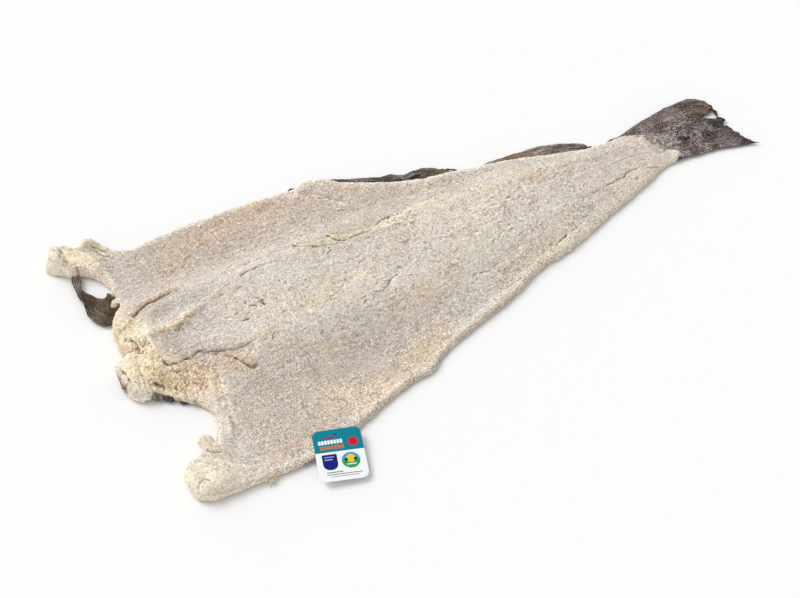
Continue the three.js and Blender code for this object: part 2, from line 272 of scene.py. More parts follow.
def crumbs(points, size, seed):
    """Distance to the nearest and the second nearest of scattered seeds, in units of size."""
    q = np.asarray(points, float) / size
    cell = np.floor(q).astype(np.int64)
    first = np.full(len(q), 9.0)
    second = np.full(len(q), 9.0)
    for n in range(27):
        c = cell + (n % 3 - 1, n // 3 % 3 - 1, n // 9 - 1)
        at = c + hashed(c, seed * 7919 + 77) / 1023
        d = np.sqrt(((q - at) ** 2).sum(1))
        second = np.minimum(second, np.maximum(first, d))
        first = np.minimum(first, d)
    return first, second


def along(points, degrees, long, short, seed, flat=1.0):
    """Stretched noise, long in the direction of an angle from +X; flat squeezes it upwards."""
    u, v = turned_axes(*points.T[:2], degrees)
    return noise(np.column_stack([u, v, points[:, 2] * flat]), (long, short, short * 3), seed)


# ------------------------------------------------------------------ meshes


def turn_of(xy, tris):
    """Twice the area of each triangle, negative where it runs clockwise."""
    a, b, c = (xy[tris[:, k]] for k in range(3))
    return (b - a)[:, 0] * (c - a)[:, 1] - (b - a)[:, 1] * (c - a)[:, 0]


def triangulate(ring, inner):
    """Triangles that fill a ring and use the inner points; the ring's points come first."""
    points = np.vstack([ring, inner])
    n = len(ring)
    edges = [(i, (i + 1) % n) for i in range(n)]
    made = delaunay_2d_cdt([Vector(p) for p in points.tolist()], edges, [], 1, 1e-7)
    xy = np.array([tuple(v) for v in made[0]])
    tris = np.array([f for f in made[2] if len(f) == 3])
    clockwise = turn_of(xy, tris) < 0
    tris[clockwise] = tris[clockwise][:, ::-1]
    return xy, tris


def within(points, ring):
    """Which points lie inside a ring."""
    x, y = points.T[:2]
    inside = np.zeros(len(points), bool)
    for (ax, ay), (bx, by) in zip(ring, np.roll(ring, -1, 0)):
        if ay != by:
            inside ^= ((ay > y) != (by > y)) & (x < (bx - ax) * (y - ay) / (by - ay) + ax)
    return inside


def lattice(ring, step, box=None, jitter=0.22, clear=0.55):
    """Loose rows of points inside a ring and a box, clear of the ring; jitter and clear are in steps."""
    low, high = box or (ring.min(0), ring.max(0))
    rows = []
    for row, y in enumerate(np.arange(low[1] + step / 2, high[1], step * 0.866)):
        x = np.arange(low[0] + (row % 2) * step / 2, high[0], step)
        rows.append(np.column_stack([x, np.full(len(x), y)]))
    points = np.vstack(rows)
    points = points[within(points, ring)]
    points = points[inset_of(points, ring) > clear * step]
    return points + RANDOM.uniform(-jitter, jitter, points.shape) * step


def inset_of(points, ring):
    """Distance from points to a ring."""
    after = np.roll(ring, -1, 0)
    return distances(points, tree_of(np.vstack([ring + (after - ring) * t for t in (0, 1 / 3, 2 / 3)])))


def edges_of(tris):
    """The three sides of each triangle, in its turn."""
    return np.vstack([tris[:, [0, 1]], tris[:, [1, 2]], tris[:, [2, 0]]])


def boundary(tris):
    """The one loop of points around a set of counter-clockwise triangles."""
    there = set(map(tuple, edges_of(tris).tolist()))
    follow = {a: b for a, b in there if (b, a) not in there}
    start = min(follow)
    loop = [start]
    while follow[loop[-1]] != start:
        loop.append(follow[loop[-1]])
    return np.array(loop)


def slab(ring, inner, top, bottom, bottom_inner, rows=2):
    """A closed shell over a ring between two heights, with rows of faces in its walls.

    inner and bottom_inner are points of the upper and the lower face. top and bottom take (n, 2)
    points and their distance to the ring. Returns vertices, triangles, and for each vertex its rise
    (1 on the upper face, 0 underneath) and inset.
    """
    xy, tris = triangulate(ring, inner)
    inset = inset_of(xy, ring)
    loop = boundary(tris)
    inset[loop] = 0
    upper = np.column_stack([xy, top(xy, inset)])
    rim = upper[loop]
    low_xy, low_tris = triangulate(rim[:, :2], bottom_inner)
    assert np.allclose(low_xy[: len(loop)], rim[:, :2], atol=1e-5)
    low_inset = inset_of(low_xy, ring)
    low_inset[: len(loop)] = 0
    lower = np.column_stack([low_xy, bottom(low_xy, low_inset)])
    sole = lower[: len(loop)]
    walls = [rim + (sole - rim) * (r / rows) for r in range(1, rows)]
    wall_rise = [np.full(len(loop), 1 - r / rows) for r in range(1, rows)]
    vertices = np.vstack([upper, *walls, lower])
    rise = np.concatenate([np.ones(len(upper)), *wall_rise, np.zeros(len(lower))])
    insets = np.concatenate([inset, np.zeros(len(loop) * (rows - 1)), low_inset])
    rings = [loop, *(len(upper) + len(loop) * r + np.arange(len(loop)) for r in range(rows))]
    faces = [tris, rings[-1][0] + low_tris[:, ::-1]]
    for above, below in zip(rings, rings[1:]):
        a, b, c, d = above, np.roll(above, -1), np.roll(below, -1), below
        faces += [np.column_stack(corners) for corners in ((d, c, b), (d, b, a))]
    return vertices, np.vstack(faces), rise, insets


def normals_of(vertices, tris):
    """Unit normals of the vertices, from the triangles around each."""
    a, b, c = (vertices[tris[:, k]] for k in range(3))
    face = np.cross(b - a, c - a)

    def gathered(axis):
        return sum(np.bincount(tris[:, k], face[:, axis], len(vertices)) for k in range(3))

    total = np.column_stack([gathered(axis) for axis in range(3)])
    return total / np.maximum(np.linalg.norm(total, axis=1), 1e-9)[:, None]


def linked(name, data):
    """A new object in the scene."""
    made = bpy.data.objects.new(name, data)
    bpy.context.scene.collection.objects.link(made)
    return made


def piece(
    name, vertices, faces, material, colour=None, speckle=None, replaces="cod", slot="flesh", smooth=True
):
    """A mesh object from fish-frame points and equal-sided faces that rides on the body.

    colour is the tint of each vertex. speckle, kept in the tint's alpha, is how much of the
    material's specks each vertex shows.
    """
    faces = np.asarray(faces)
    sides = faces.shape[1]
    mesh = bpy.data.meshes.new(name)
    mesh.vertices.add(len(vertices))
    mesh.vertices.foreach_set("co", in_frame(vertices).ravel())
    mesh.loops.add(faces.size)
    mesh.loops.foreach_set("vertex_index", faces.ravel().astype(np.int32))
    mesh.polygons.add(len(faces))
    mesh.polygons.foreach_set("loop_start", np.arange(0, faces.size, sides, dtype=np.int32))
    mesh.update(calc_edges=True)
    mesh.validate()
    mesh.polygons.foreach_set("use_smooth", np.full(len(mesh.polygons), smooth))
    if colour is not None:
        tint = mesh.color_attributes.new(name="tint", type="FLOAT_COLOR", domain="POINT")
        alpha = np.ones(len(colour)) if speckle is None else speckle
        tint.data.foreach_set("color", np.column_stack([np.clip(colour, 0, 1), alpha]).ravel())
    mesh.materials.append(material)
    made = linked(name, mesh)
    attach(made, "root")
    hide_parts(replaces)
    return made


def joined(name, parts, material, **options):
    """One piece from parts, each with its points, triangles and colours."""
    points, tris, colours = zip(*parts)
    starts = np.cumsum([0, *(len(p) for p in points[:-1])])
    faces = [t + start for t, start in zip(tris, starts)]
    return piece(name, np.vstack(points), np.vstack(faces), material, np.vstack(colours), **options)


# ------------------------------------------------------------------ materials


class Nodes:
    """Builds one procedural material."""

    def __init__(self, name):
        self.material = bpy.data.materials.new(name)
        self.material.use_nodes = True
        self.tree = self.material.node_tree
        self.shader = self.tree.nodes["Principled BSDF"]

    def add(self, kind, **values):
        """A node with values for its inputs and settings."""
        node = self.tree.nodes.new(kind)
        for key, value in values.items():
            if key in node.inputs:
                self.put(node.inputs[key], value)
            else:
                setattr(node, key, value)
        return node

    def put(self, socket, value):
        if isinstance(value, bpy.types.NodeSocket):
            self.tree.links.new(value, socket)
        else:
            socket.default_value = value

    def texture(self, kind, output, **values):
        """A texture in metres on the part."""
        made = self.add(kind, **values)
        self.put(made.inputs["Vector"], self.add("ShaderNodeTexCoord").outputs["Object"])
        return made.outputs[output]

    def noise(self, scale, detail=2.0, rough=0.5, distortion=0.0):
        values = {"Scale": scale, "Detail": detail, "Roughness": rough, "Distortion": distortion}
        return self.texture("ShaderNodeTexNoise", "Fac", **values)

    def cells(self, scale, randomness=1.0):
        values = {"Scale": scale, "Randomness": randomness}
        return self.texture("ShaderNodeTexVoronoi", "Distance", feature="F1", **values)

    def layer(self, name):
        """A colour attribute of the mesh."""
        return self.add("ShaderNodeVertexColor", layer_name=name).outputs

    def ramp(self, value, *stops):
        """A value turned into greys or colours, each stop with its place and its grey or colour."""
        made = self.add("ShaderNodeValToRGB")
        self.put(made.inputs[0], value)
        elements = made.color_ramp.elements
        while len(elements) < len(stops):
            elements.new(0.5)
        for element, (at, rgb) in zip(elements, stops):
            element.position = at
            element.color = (*(rgb if isinstance(rgb, tuple) else (rgb, rgb, rgb)), 1)
        return made.outputs[0]

    def mix(self, kind, amount, a, b):
        """A blend of two colours."""
        made = self.add("ShaderNodeMix", data_type="RGBA", blend_type=kind)
        self.put(made.inputs[0], amount)
        self.put(made.inputs[6], a)
        self.put(made.inputs[7], b)
        return made.outputs[2]

    def bump(self, strength, distance, height, before=None):
        """Relief in the normal, on top of another's."""
        made = self.add("ShaderNodeBump", Strength=strength, Distance=distance)
        self.put(made.inputs["Height"], height)
        if before is not None:
            self.put(made.inputs["Normal"], before)
        return made.outputs["Normal"]

    def finish(self, colour, roughness, normal=None, **values):
        """Sets the shader's inputs."""
        self.put(self.shader.inputs["Base Color"], colour)
        self.put(self.shader.inputs["Roughness"], roughness)
        if normal is not None:
            self.put(self.shader.inputs["Normal"], normal)
        for key, value in values.items():
            self.shader.inputs[key.replace("_", " ")].default_value = value
        return self.material


def flesh_material():
    """Dry, salted flesh: a mottled tint with specks, painted shade in fine worm-like cracks, salt and a
    rough bump.
    """
    m = Nodes("salted_flesh")
    fine = m.noise(980, 2, 0.65)
    grain = m.noise(560, 3, 0.65)
    coarse = m.noise(230, 3, 0.6)
    worms = m.noise(260, 2, 0.55, distortion=0.9)
    patches = m.ramp(m.noise(36, 3), (0.40, 0.35), (0.62, 1.0))
    tint = m.layer("tint")
    fine_specks = m.ramp(fine, (0.34, 0.50), (0.46, 0.97), (0.55, 1.11), (0.68, 1.56))
    coarse_specks = m.ramp(grain, (0.35, 0.56), (0.45, 0.99), (0.54, 1.09), (0.64, 1.36))
    colour = m.mix("MULTIPLY", tint["Alpha"], tint["Color"], fine_specks)
    colour = m.mix("MULTIPLY", tint["Alpha"], colour, coarse_specks)
    cool, neutral, warm = (0.96, 0.965, 0.985), (1.0, 1.0, 1.0), (1.01, 0.99, 0.955)
    cool_warm = m.ramp(m.noise(95, 3), (0.36, cool), (0.50, neutral), (0.66, warm))
    colour = m.mix("MULTIPLY", 1.0, colour, cool_warm)
    # Painted shade along the fine worm-like cracks, which the bump below also sinks.
    lines = m.ramp(worms, (0.450, 0.0), (0.492, 1.0), (0.508, 1.0), (0.550, 0.0))
    lines = m.mix("MULTIPLY", 1.0, lines, patches)
    colour = m.mix("MULTIPLY", lines, colour, (0.74, 0.69, 0.63, 1))
    specks = m.ramp(m.noise(430, 1, 0.5), (0.66, 0.0), (0.72, 1.0))
    speck_patches = m.ramp(m.noise(48, 2), (0.46, 0.0), (0.60, 1.0))
    specks = m.mix("MULTIPLY", 1.0, specks, speck_patches)
    colour = m.mix("MULTIPLY", specks, colour, (0.46, 0.40, 0.34, 1))
    crystals = m.ramp(m.cells(640.0), (0.14, 0.6), (0.24, 0.0))
    colour = m.mix("MIX", crystals, colour, (0.84, 0.83, 0.81, 1))
    bumps = m.bump(0.5, 0.0009, coarse)
    bumps = m.bump(0.6, 0.0006, m.ramp(worms, (0.45, 1.0), (0.50, 0.0), (0.55, 1.0)), bumps)
    bumps = m.bump(0.6, 0.0005, grain, bumps)
    bumps = m.bump(0.6, 0.0003, fine, bumps)
    depth = {"Subsurface_Weight": 0.05, "Subsurface_Scale": 0.002}
    return m.finish(colour, 0.78, bumps, Specular_IOR_Level=0.28, **depth)


def skin_material():
    """Cod skin, dried hard: mottled, with tiny scales."""
    m = Nodes("cod_skin")
    scale_height = m.ramp(m.cells(520.0, 0.7), (0.0, 1.0), (0.65, 0.0))
    mottle = m.ramp(m.noise(75, 4, 0.65), (0.35, 0.62), (0.5, 1.0), (0.68, 1.25))
    colour = m.mix("MULTIPLY", 1.0, m.layer("tint")["Color"], mottle)
    colour = m.mix("MULTIPLY", 0.6, colour, m.ramp(scale_height, (0.0, 0.62), (0.8, 1.1)))
    bumps = m.bump(0.5, 0.0005, scale_height)
    bumps = m.bump(0.5, 0.0012, m.noise(160, 3), bumps)
    return m.finish(colour, 0.48, bumps, Specular_IOR_Level=0.5)


def fin_material():
    """Dried fin tissue: its tint with a fine grain."""
    m = Nodes("dried_fin")
    grain = m.noise(540, 3, 0.65)
    specks = m.ramp(grain, (0.34, 0.36), (0.47, 0.89), (0.56, 1.06), (0.68, 1.75))
    colour = m.mix("MULTIPLY", 1.0, m.layer("tint")["Color"], specks)
    return m.finish(colour, 0.66, m.bump(0.5, 0.0005, grain), Specular_IOR_Level=0.4)


def salt_material():
    """Salt: off-white, with small changes of tone."""
    m = Nodes("salt_crystal")
    colour = m.ramp(m.noise(300, 1), (0.3, (0.80, 0.77, 0.71)), (0.7, (0.94, 0.93, 0.90)))
    return m.finish(colour, 0.4, None, Specular_IOR_Level=0.5)


# ------------------------------------------------------------------ the flesh's outline and relief

# The outline in plan, in smooth strokes that meet at corners: the near notch, the near ear, the near
# edge, the end at the tail, the far edge with its nick, the far ear, the far notch and the neck.
FLESH_STROKES = [
    [[17, -122], [13, -130], [10, -137], [8, -131], [8.5, -125], [4.5, -120], [-1, -120], [-4, -126],
     [-3, -131], [-4.5, -137]],
    [[-4.5, -137], [-12, -140.5], [-23, -144], [-31, -154], [-33, -169], [-29, -181], [-17, -189]],
    [[-17, -189], [10, -191], [39, -193], [80, -195], [132, -183], [202, -163], [232, -160],
     [252, -148], [282, -138], [357, -118], [407, -99], [452, -91], [552, -61], [602, -45],
     [627, -37], [646, -35]],
    [[646, -35], [650, -32.5], [655.5, -29.5]],
    [[655.5, -29.5], [656.5, -25.5], [653, -22], [649, -18.5]],
    [[649, -18.5], [650, -13.5], [654, -7], [655.5, 0.5], [652.5, 6.5], [648, 13], [642, 19], [630, 28],
     [616, 32], [600, 31.5]],
    [[600, 31.5], [567, 33], [525, 46], [490, 60], [450, 71], [405, 81.5], [355, 95.5], [300, 127],
     [284, 141], [274, 149], [264, 152.5], [254, 152.5], [247, 150], [243, 146.5], [238, 147]],
    [[238, 147], [235, 142], [229, 149], [180, 154], [130, 156], [80, 156], [48, 152], [32, 152]],
    [[32, 152], [23, 164], [17, 177], [10, 186], [2, 186], [-3, 178], [-8, 172]],
    [[-8, 172], [-16, 176], [-26, 179.5], [-35.5, 182]],
    [[-35.5, 182], [-41, 176], [-45, 169]],
    [[-45, 169], [-39.5, 161], [-32, 155.5]],
    [[-32, 155.5], [-25, 147.5], [-14, 142.5], [-4, 131.5], [2, 117], [4, 106], [1, 97]],
    [[1, 97], [4, 91], [-3, 87], [-5, 82], [2, 79.5], [0, 74.5], [-7, 67]],
    [[-7, 67], [-14, 58], [-18, 50], [-20.5, 41], [-19.5, 31], [-22, 21], [-19, 8.5]],
    [[-19, 8.5], [-27, 5], [-34, 3]],
    [[-34, 3], [-35.5, -5], [-35.5, -15], [-37, -28], [-35, -38], [-31, -45.5], [-25, -50.5], [-17, -48]],
    [[-17, -48], [-5, -59], [7, -71], [17, -81], [24, -96], [22, -111], [17, -122]],
]  # fmt: skip

# Station x, thickness at the loins, the middle of the loins in y, their half width, and the flaps.
SECTIONS = np.array([
    [-45, 19, 4, 54, 8], [0, 24, 5, 64, 8], [60, 27, -2, 76, 7], [150, 28, -10, 84, 6.5],
    [250, 26, -14, 82, 5.5], [340, 22, -16, 74, 7.5], [450, 19, -11, 60, 9], [550, 15, -8, 44, 7],
    [620, 10, -5, 32, 5], [655, 6, -4, 28, 4],
])  # fmt: skip

# Place, rim height and rounding of the edge near it.
EDGES = np.array([
    [-24, 30, 11, 18], [-33, 0, 4, 9], [-26, 5, 4.5, 9], [-37, -20, 8, 14], [4, -67, 9, 14],
    [23, -105, 6, 7], [3, -125, 7, 4],
    [-31, -165, 10, 9], [20, -191, 6, 9], [70, -193, 3.5, 7], [130, -184, 2.8, 6], [200, -163, 2.6, 6],
    [250, -149, 2.4, 5], [357, -118, 2.6, 8], [500, -77, 3, 13], [630, -36, 2.5, 12], [648, 0, 3, 9],
    [655, -28, 5.5, 4],
    [550, 36, 3.2, 9], [450, 66, 3.2, 8], [400, 81, 3.2, 8], [320, 114, 3, 8], [290, 133, 3.5, 6],
    [200, 152, 3, 5], [130, 154, 3, 5], [60, 154, 3.5, 6], [6, 180, 10, 6], [-38, 180, 23, 3],
    [-36, 166, 22, 3], [-24, 178, 21, 3],
    [-28, 158, 20, 3], [-16, 146, 17, 6], [-4, 134, 14, 8], [3, 102, 8, 8], [-8, 68, 9, 12],
])  # fmt: skip

# Middle x and y, height, and reach along x and y.
MOUNDS = [
    (-30, 170, 18, 24, 22), (-4, 146, 8, 16, 20), (5, 176, 7, 9, 8), (-14, -166, 8, 30, 26),
    (4, 12, 4.5, 10, 13), (650, -27, 1.8, 9, 8), (-28, -26, 3, 8, 16), (-29, 4, -5, 7, 8),
    (22, -54, -5, 26, 18), (215, 95, 2.5, 60, 26),
    (180, -120, 2, 70, 22), (32, 32, -3, 22, 8), (-2, -26, 2.5, 14, 12), (-14, 42, 2, 8, 14),
    (40, 108, -1.5, 40, 30), (-8, -178, 2, 14, 8),
]  # fmt: skip

# Folds stand up and creases sink in: stations, height and half width.
SEAMS = [
    ([(-4, 35), (1, 42.5), (8, 49.5), (15, 54.5), (22, 55.5), (30, 55), (40, 54.5), (54, 56)], 3.4, 4.0),
    ([(8, 8.5), (16, 7), (24, 5.5), (33, 5), (43, 7), (52, 10.5), (60, 14)], 3.8, 6.0),
    ([(56, 15), (63, 16), (78, 20), (90, 26)], 1.2, 4),
    ([(116, 40), (150, 42), (190, 42), (236, 34), (282, 27), (330, 36)], 0.8, 7),
    ([(39, -64), (31, -90), (27, -112), (25, -132)], 2.0, 5.5),
    ([(52, -66), (44, -92), (40, -122)], 1.0, 5),
    ([(390, 28), (450, 25), (520, 19), (600, 11), (640, 3)], 1.2, 9),
    ([(66, 26), (92, 40), (112, 50), (150, 52), (190, 51), (230, 44), (280, 35), (326, 47)], -0.9, 6),
    ([(0, -20), (7, -31), (18, -35.5), (36, -36), (54, -42), (66, -50), (84, -56)], -3.5, 5),
    ([(56, -44), (68, -56), (80, -72)], -3.0, 5),
    ([(-16, 14), (-9, 0), (0, 0)], -3, 4),
    ([(-27, 7), (-20, 7), (-14, 4)], -6, 4),
    ([(-32, -2), (-29, -20), (-24, -40)], -3, 4),
    ([(500, -42), (552, -36), (600, -27), (618, -34)], -0.8, 5),
    ([(356, -104), (400, -90), (436, -82)], -0.8, 5),
    ([(240, -54), (252, -46), (268, -38)], -1.2, 5),
    ([(-26, 168), (-25, 158), (-24, 140)], -2.5, 3.5),
]


# Where the belly flap behind the nick lies over the one before it.
OVERLAP = [(288, 83), (277, 94), (266, 109), (258, 121), (249, 130), (242, 139), (238, 147)]

# How high the drying edge lifts off the ground, how far in that reaches, and how much of the
# solid's height is left to the skin under the flesh, in mm.
CURL_HEIGHT, CURL_REACH, SKIN_LEFT = 1.2, 20, 0.45


def curl(inset):
    """How far the drying edge lifts off the ground."""
    return CURL_HEIGHT * falling(inset, 0, CURL_REACH)


def flesh_depth(xy, inset):
    """Thickness of the flesh: loins, flaps, mounds and seams, rounded off at the edge."""
    x, y = xy.T
    loin, middle, half, flap = (np.interp(x, SECTIONS[:, 0], SECTIONS[:, k]) for k in (1, 2, 3, 4))
    depth = flap + (loin - flap) * falling(np.abs(y - middle) / half, 0.45, 1.35)
    for mound_x, mound_y, height, reach_x, reach_y in MOUNDS:
        depth += height * spot(x, y, mound_x, mound_y, reach_x, reach_y)
    lumps = 1 + 0.35 * noise(on_ground(x, y), 9, 86) * (x < 115)
    for stations, height, half_width in SEAMS:
        depth += height * lumps * ridge_over(away_from(xy, stations, 3 * half_width), half_width)
    reach = 26
    away, side, share = near_line(xy, spline(OVERLAP, 2.0), reach)
    over = np.where(side > 0, ridge_over(away, 16), ridge_over(away, 1.2))
    depth += 2.6 * over * taper(share, 0.2) * (away < reach)
    total, rim, rounding = 0, 0, 0
    for edge_x, edge_y, edge_rim, edge_rounding in EDGES:
        weight = 1 / (1 + (x - edge_x) ** 2 + (y - edge_y) ** 2) ** 2
        total = total + weight
        rim = rim + weight * edge_rim
        rounding = rounding + weight * edge_rounding
    inward = 1 - np.minimum(inset / (rounding / total), 1)
    start = np.minimum(rim / total, depth)
    return start + (depth - start) * np.sqrt(1 - inward**2)


def flesh_top(xy, inset):
    return curl(inset) + flesh_depth(xy, inset)


def flesh_bottom(xy, inset):
    return curl(inset) + SKIN_LEFT


# Sharp cracks in the dried flesh: stations, depth, half width, and how much shade is painted into them.
CRACKS = [
    ([(1, 37), (3.5, 39.8), (10, 44.7), (17.3, 49), (23, 51.2), (34, 51.3), (39, 51), (46, 52.3),
    (53, 55.5)],
     2.6, 1.0, 1.3),
    ([(-15, 16.8), (-11, 13.3), (-9, 8.2), (-9.2, 4.7), (-9, -1), (-9.5, -8)], 3.0, 1.3, 1.6),
    ([(-9.4, -7), (-7.5, -7), (-5.4, -4.6)], 2.6, 1.1, 1.7),
    ([(-14.8, -8.2), (-13.2, -12)], 2.2, 1.3, 1.7),
    ([(-16, 20.5), (-13.5, 18.5)], 2.4, 1.8, 1.3),
    ([(-3, 42), (-4, 37), (-6, 33)], 1.4, 0.8, 0.7),
    ([(5.4, -38.2), (10.6, -42.4), (17.1, -44.1)], 1.8, 0.9, 1.3),
    ([(-12.6, -42.5), (-9.6, -47), (-6.1, -50.4), (-6.1, -54.5)], 2.6, 1.3, 1.6),
    ([(2.1, 1.1), (3.5, -3.2)], 1.4, 0.9, 1.2),
    ([(-11.5, 31.5), (-9, 30)], 1.6, 1.5, 0.9),
    ([(7.4, 169), (12, 167), (15, 164.5), (20.9, 156.8)], 1.4, 1.0, 1.2),
    ([(-18, 146), (-17, 141), (-19, 135)], 1.6, 1.0, 1.2),
    ([(-32.7, -9), (-32.7, -14), (-32, -23.7), (-32.8, -32.5)], 2.2, 1.1, 1.3),
    ([(-36, -7), (-36.5, -13), (-36, -19)], 1.2, 0.9, 1.1),
    ([(4.4, -22.3), (7.2, -29.8), (13.7, -33.5), (17.5, -32.5)], 1.4, 0.9, 0.7),
    ([(21.3, -31.5), (25.7, -35.2), (31.4, -36.8), (36.2, -34), (41.3, -34.6),
    (45.5, -39)], 1.4, 0.9, 0.7),
    ([(3.8, -55.6), (4.6, -60.3)], 2.4, 1.3, 1.5),
    ([(-11.1, -37.6), (-8.6, -38.9)], 1.4, 1.1, 1.3),
    ([(19.8, -55.4), (25, -62), (29.8, -67.7)], 1.4, 0.8, 0.9),
    ([(55, 21.5), (56.4, 15)], 1.4, 0.9, 1.2),
    ([(117.9, 35.9), (123.6, 35.9), (131, 36.7), (138.7, 36.2), (146.6, 35.7),
    (150, 35.4)], 2.4, 1.0, 1.8),
    ([(145.7, 36.3), (162.6, 35.1)], 1.4, 0.7, 1.0),
    ([(191.6, 57), (191, 49.2), (195.4, 41.4)], 2.4, 1.0, 2.0), ([(195.4, 41.4),
    (203.5, 36.3)], 1.4, 0.8, 1.0),
    ([(203.5, 36.3), (211.5, 31.1)], 2.2, 1.0, 2.0), ([(212.3, 32.5), (225.7, 26.1),
    (233, 26.2)], 1.4, 0.7, 1.0),
    ([(225.2, 50), (228.4, 44.5), (229.7, 35.5), (232.3, 29.4), (241.5, 24)], 2.6, 1.0, 2.0),
    ([(241.5, 24), (252, 26), (263, 26), (275, 25)], 1.4, 0.8, 0.8),
    ([(276, 30), (286, 37), (296, 39), (305, 39), (312, 38), (322, 42)], 2.2, 1.0, 1.1),
    ([(288, 32), (296, 34), (304, 44)], 1.6, 0.8, 0.9),
    ([(260, 40), (266, 34), (272, 26)], 1.2, 0.8, 0.8),
    ([(121, -9), (123, -12.2), (123, -16)], 2.4, 1.4, 2.3),
    ([(108.4, -8.2), (112, -10), (115.9, -11.2)], 1.8, 0.9, 1.9),
    ([(116.9, -0.3), (120, -2.5), (122.3, -5.3), (121.9, -8.4)], 1.6, 0.8, 1.5),
    ([(106.5, -0.5), (107.3, -4)], 1.8, 1.0, 1.7),
    ([(80, -11.5), (85.5, -13)], 1.6, 1.0, 1.8),
    ([(90.5, -12.3), (96.2, -10)], 1.4, 0.9, 1.5),
    ([(92.4, -22.5), (97, -23.5), (101, -25.4)], 1.6, 0.9, 1.8),
    ([(100.3, -17.7), (106.4, -16.7)], 1.4, 0.8, 1.4),
    ([(234, 147.5), (238, 146), (241, 144)], 2.2, 1.9, 2.8),
    ([(1, -21), (7.5, -31), (18, -35), (36, -35), (54, -40), (66, -47), (76, -51),
    (104, -52)], 1.4, 0.9, 0.45),
    ([(236, -58), (244, -54), (252, -48), (266, -43)], 2.0, 0.8, 1.2),
    ([(226, -56), (233, -59), (239, -58)], 1.2, 0.8, 0.8),
    ([(241, 141), (243, 136.3), (246.3, 131), (253.8, 128)], 2.0, 0.9, 1.7),
    ([(255, 119), (259, 113.5), (264.5, 112), (266.8, 105.8)], 1.6, 0.9, 1.3),
    ([(277.6, 95.3), (286.4, 86)], 1.4, 0.8, 1.2),
    ([(626, 26.5), (635, 22.5), (642, 16.5)], 1.4, 1.2, 1.7),
    ([(536, -38), (549, -36.5), (558, -35), (568, -33.8), (578, -30), (588, -28.6),
    (597.5, -29)], 2.0, 0.65, 1.5),
    ([(600, -33.6), (608, -34.4), (618, -38)], 1.6, 0.65, 1.3),
    ([(435, -83.3), (445, -80.4), (458, -77)], 2.0, 0.7, 1.3),
    ([(462, -76), (470, -74), (478, -72)], 1.0, 0.6, 0.7),
    ([(353, -107), (364, -106), (380, -104.5)], 1.5, 0.8, 0.9),
    ([(331, -80), (341, -80.7), (355, -82)], 1.2, 0.7, 0.8),
    ([(577, -43.5), (584, -42.4)], 1.5, 1.0, 0.9),
    ([(-36, 178), (-35, 170), (-30, 164), (-27, 161)], 0.8, 0.7, 0.5),
    ([(8, 165), (15, 154), (22, 150)], 2.0, 1.2, 0.8),
    ([(40, -56), (40, -68), (39, -80)], 0.8, 0.6, 0.5),
    ([(-4, -140), (2, -145), (10, -148)], 1.8, 1.3, 0.7),
    ([(-30, -178), (-20, -172), (-14, -178)], 1.4, 1.2, 0.6),
    ([(560, -11.5), (574, -11), (594, -9.5), (616, -12), (640, -23)], 0.9, 0.8, 0.5),
    ([(542, -26.7), (553, -24.3)], 0.8, 0.6, 0.5),
    ([(-16, -17), (-20, -33), (-21, -47)], 1.2, 1.0, 0.5),
    ([(66, -54), (73, -66), (78, -73), (85, -74)], 2.2, 1.4, 1.0),
]

# Small pits on the loins and the far flap, with shade painted into them as into the cracks.
PITS = [
    (150.5, 7.3), (174.4, -6.7), (170.5, -16.2), (136.7, -12.6), (218.7, 115), (173.7, 52.7),
    (197.3, -26.8), (215.7, -17.1), (258, 69.4), (260.2, 100.5), (162.5, -26.5), (30, -69.5), (25, -76),
]  # fmt: skip
CRACKS += [([(x - 1.3, y - 0.6), (x + 1.3, y + 0.4)], 1.4, 1.1, 1.5) for x, y in PITS]

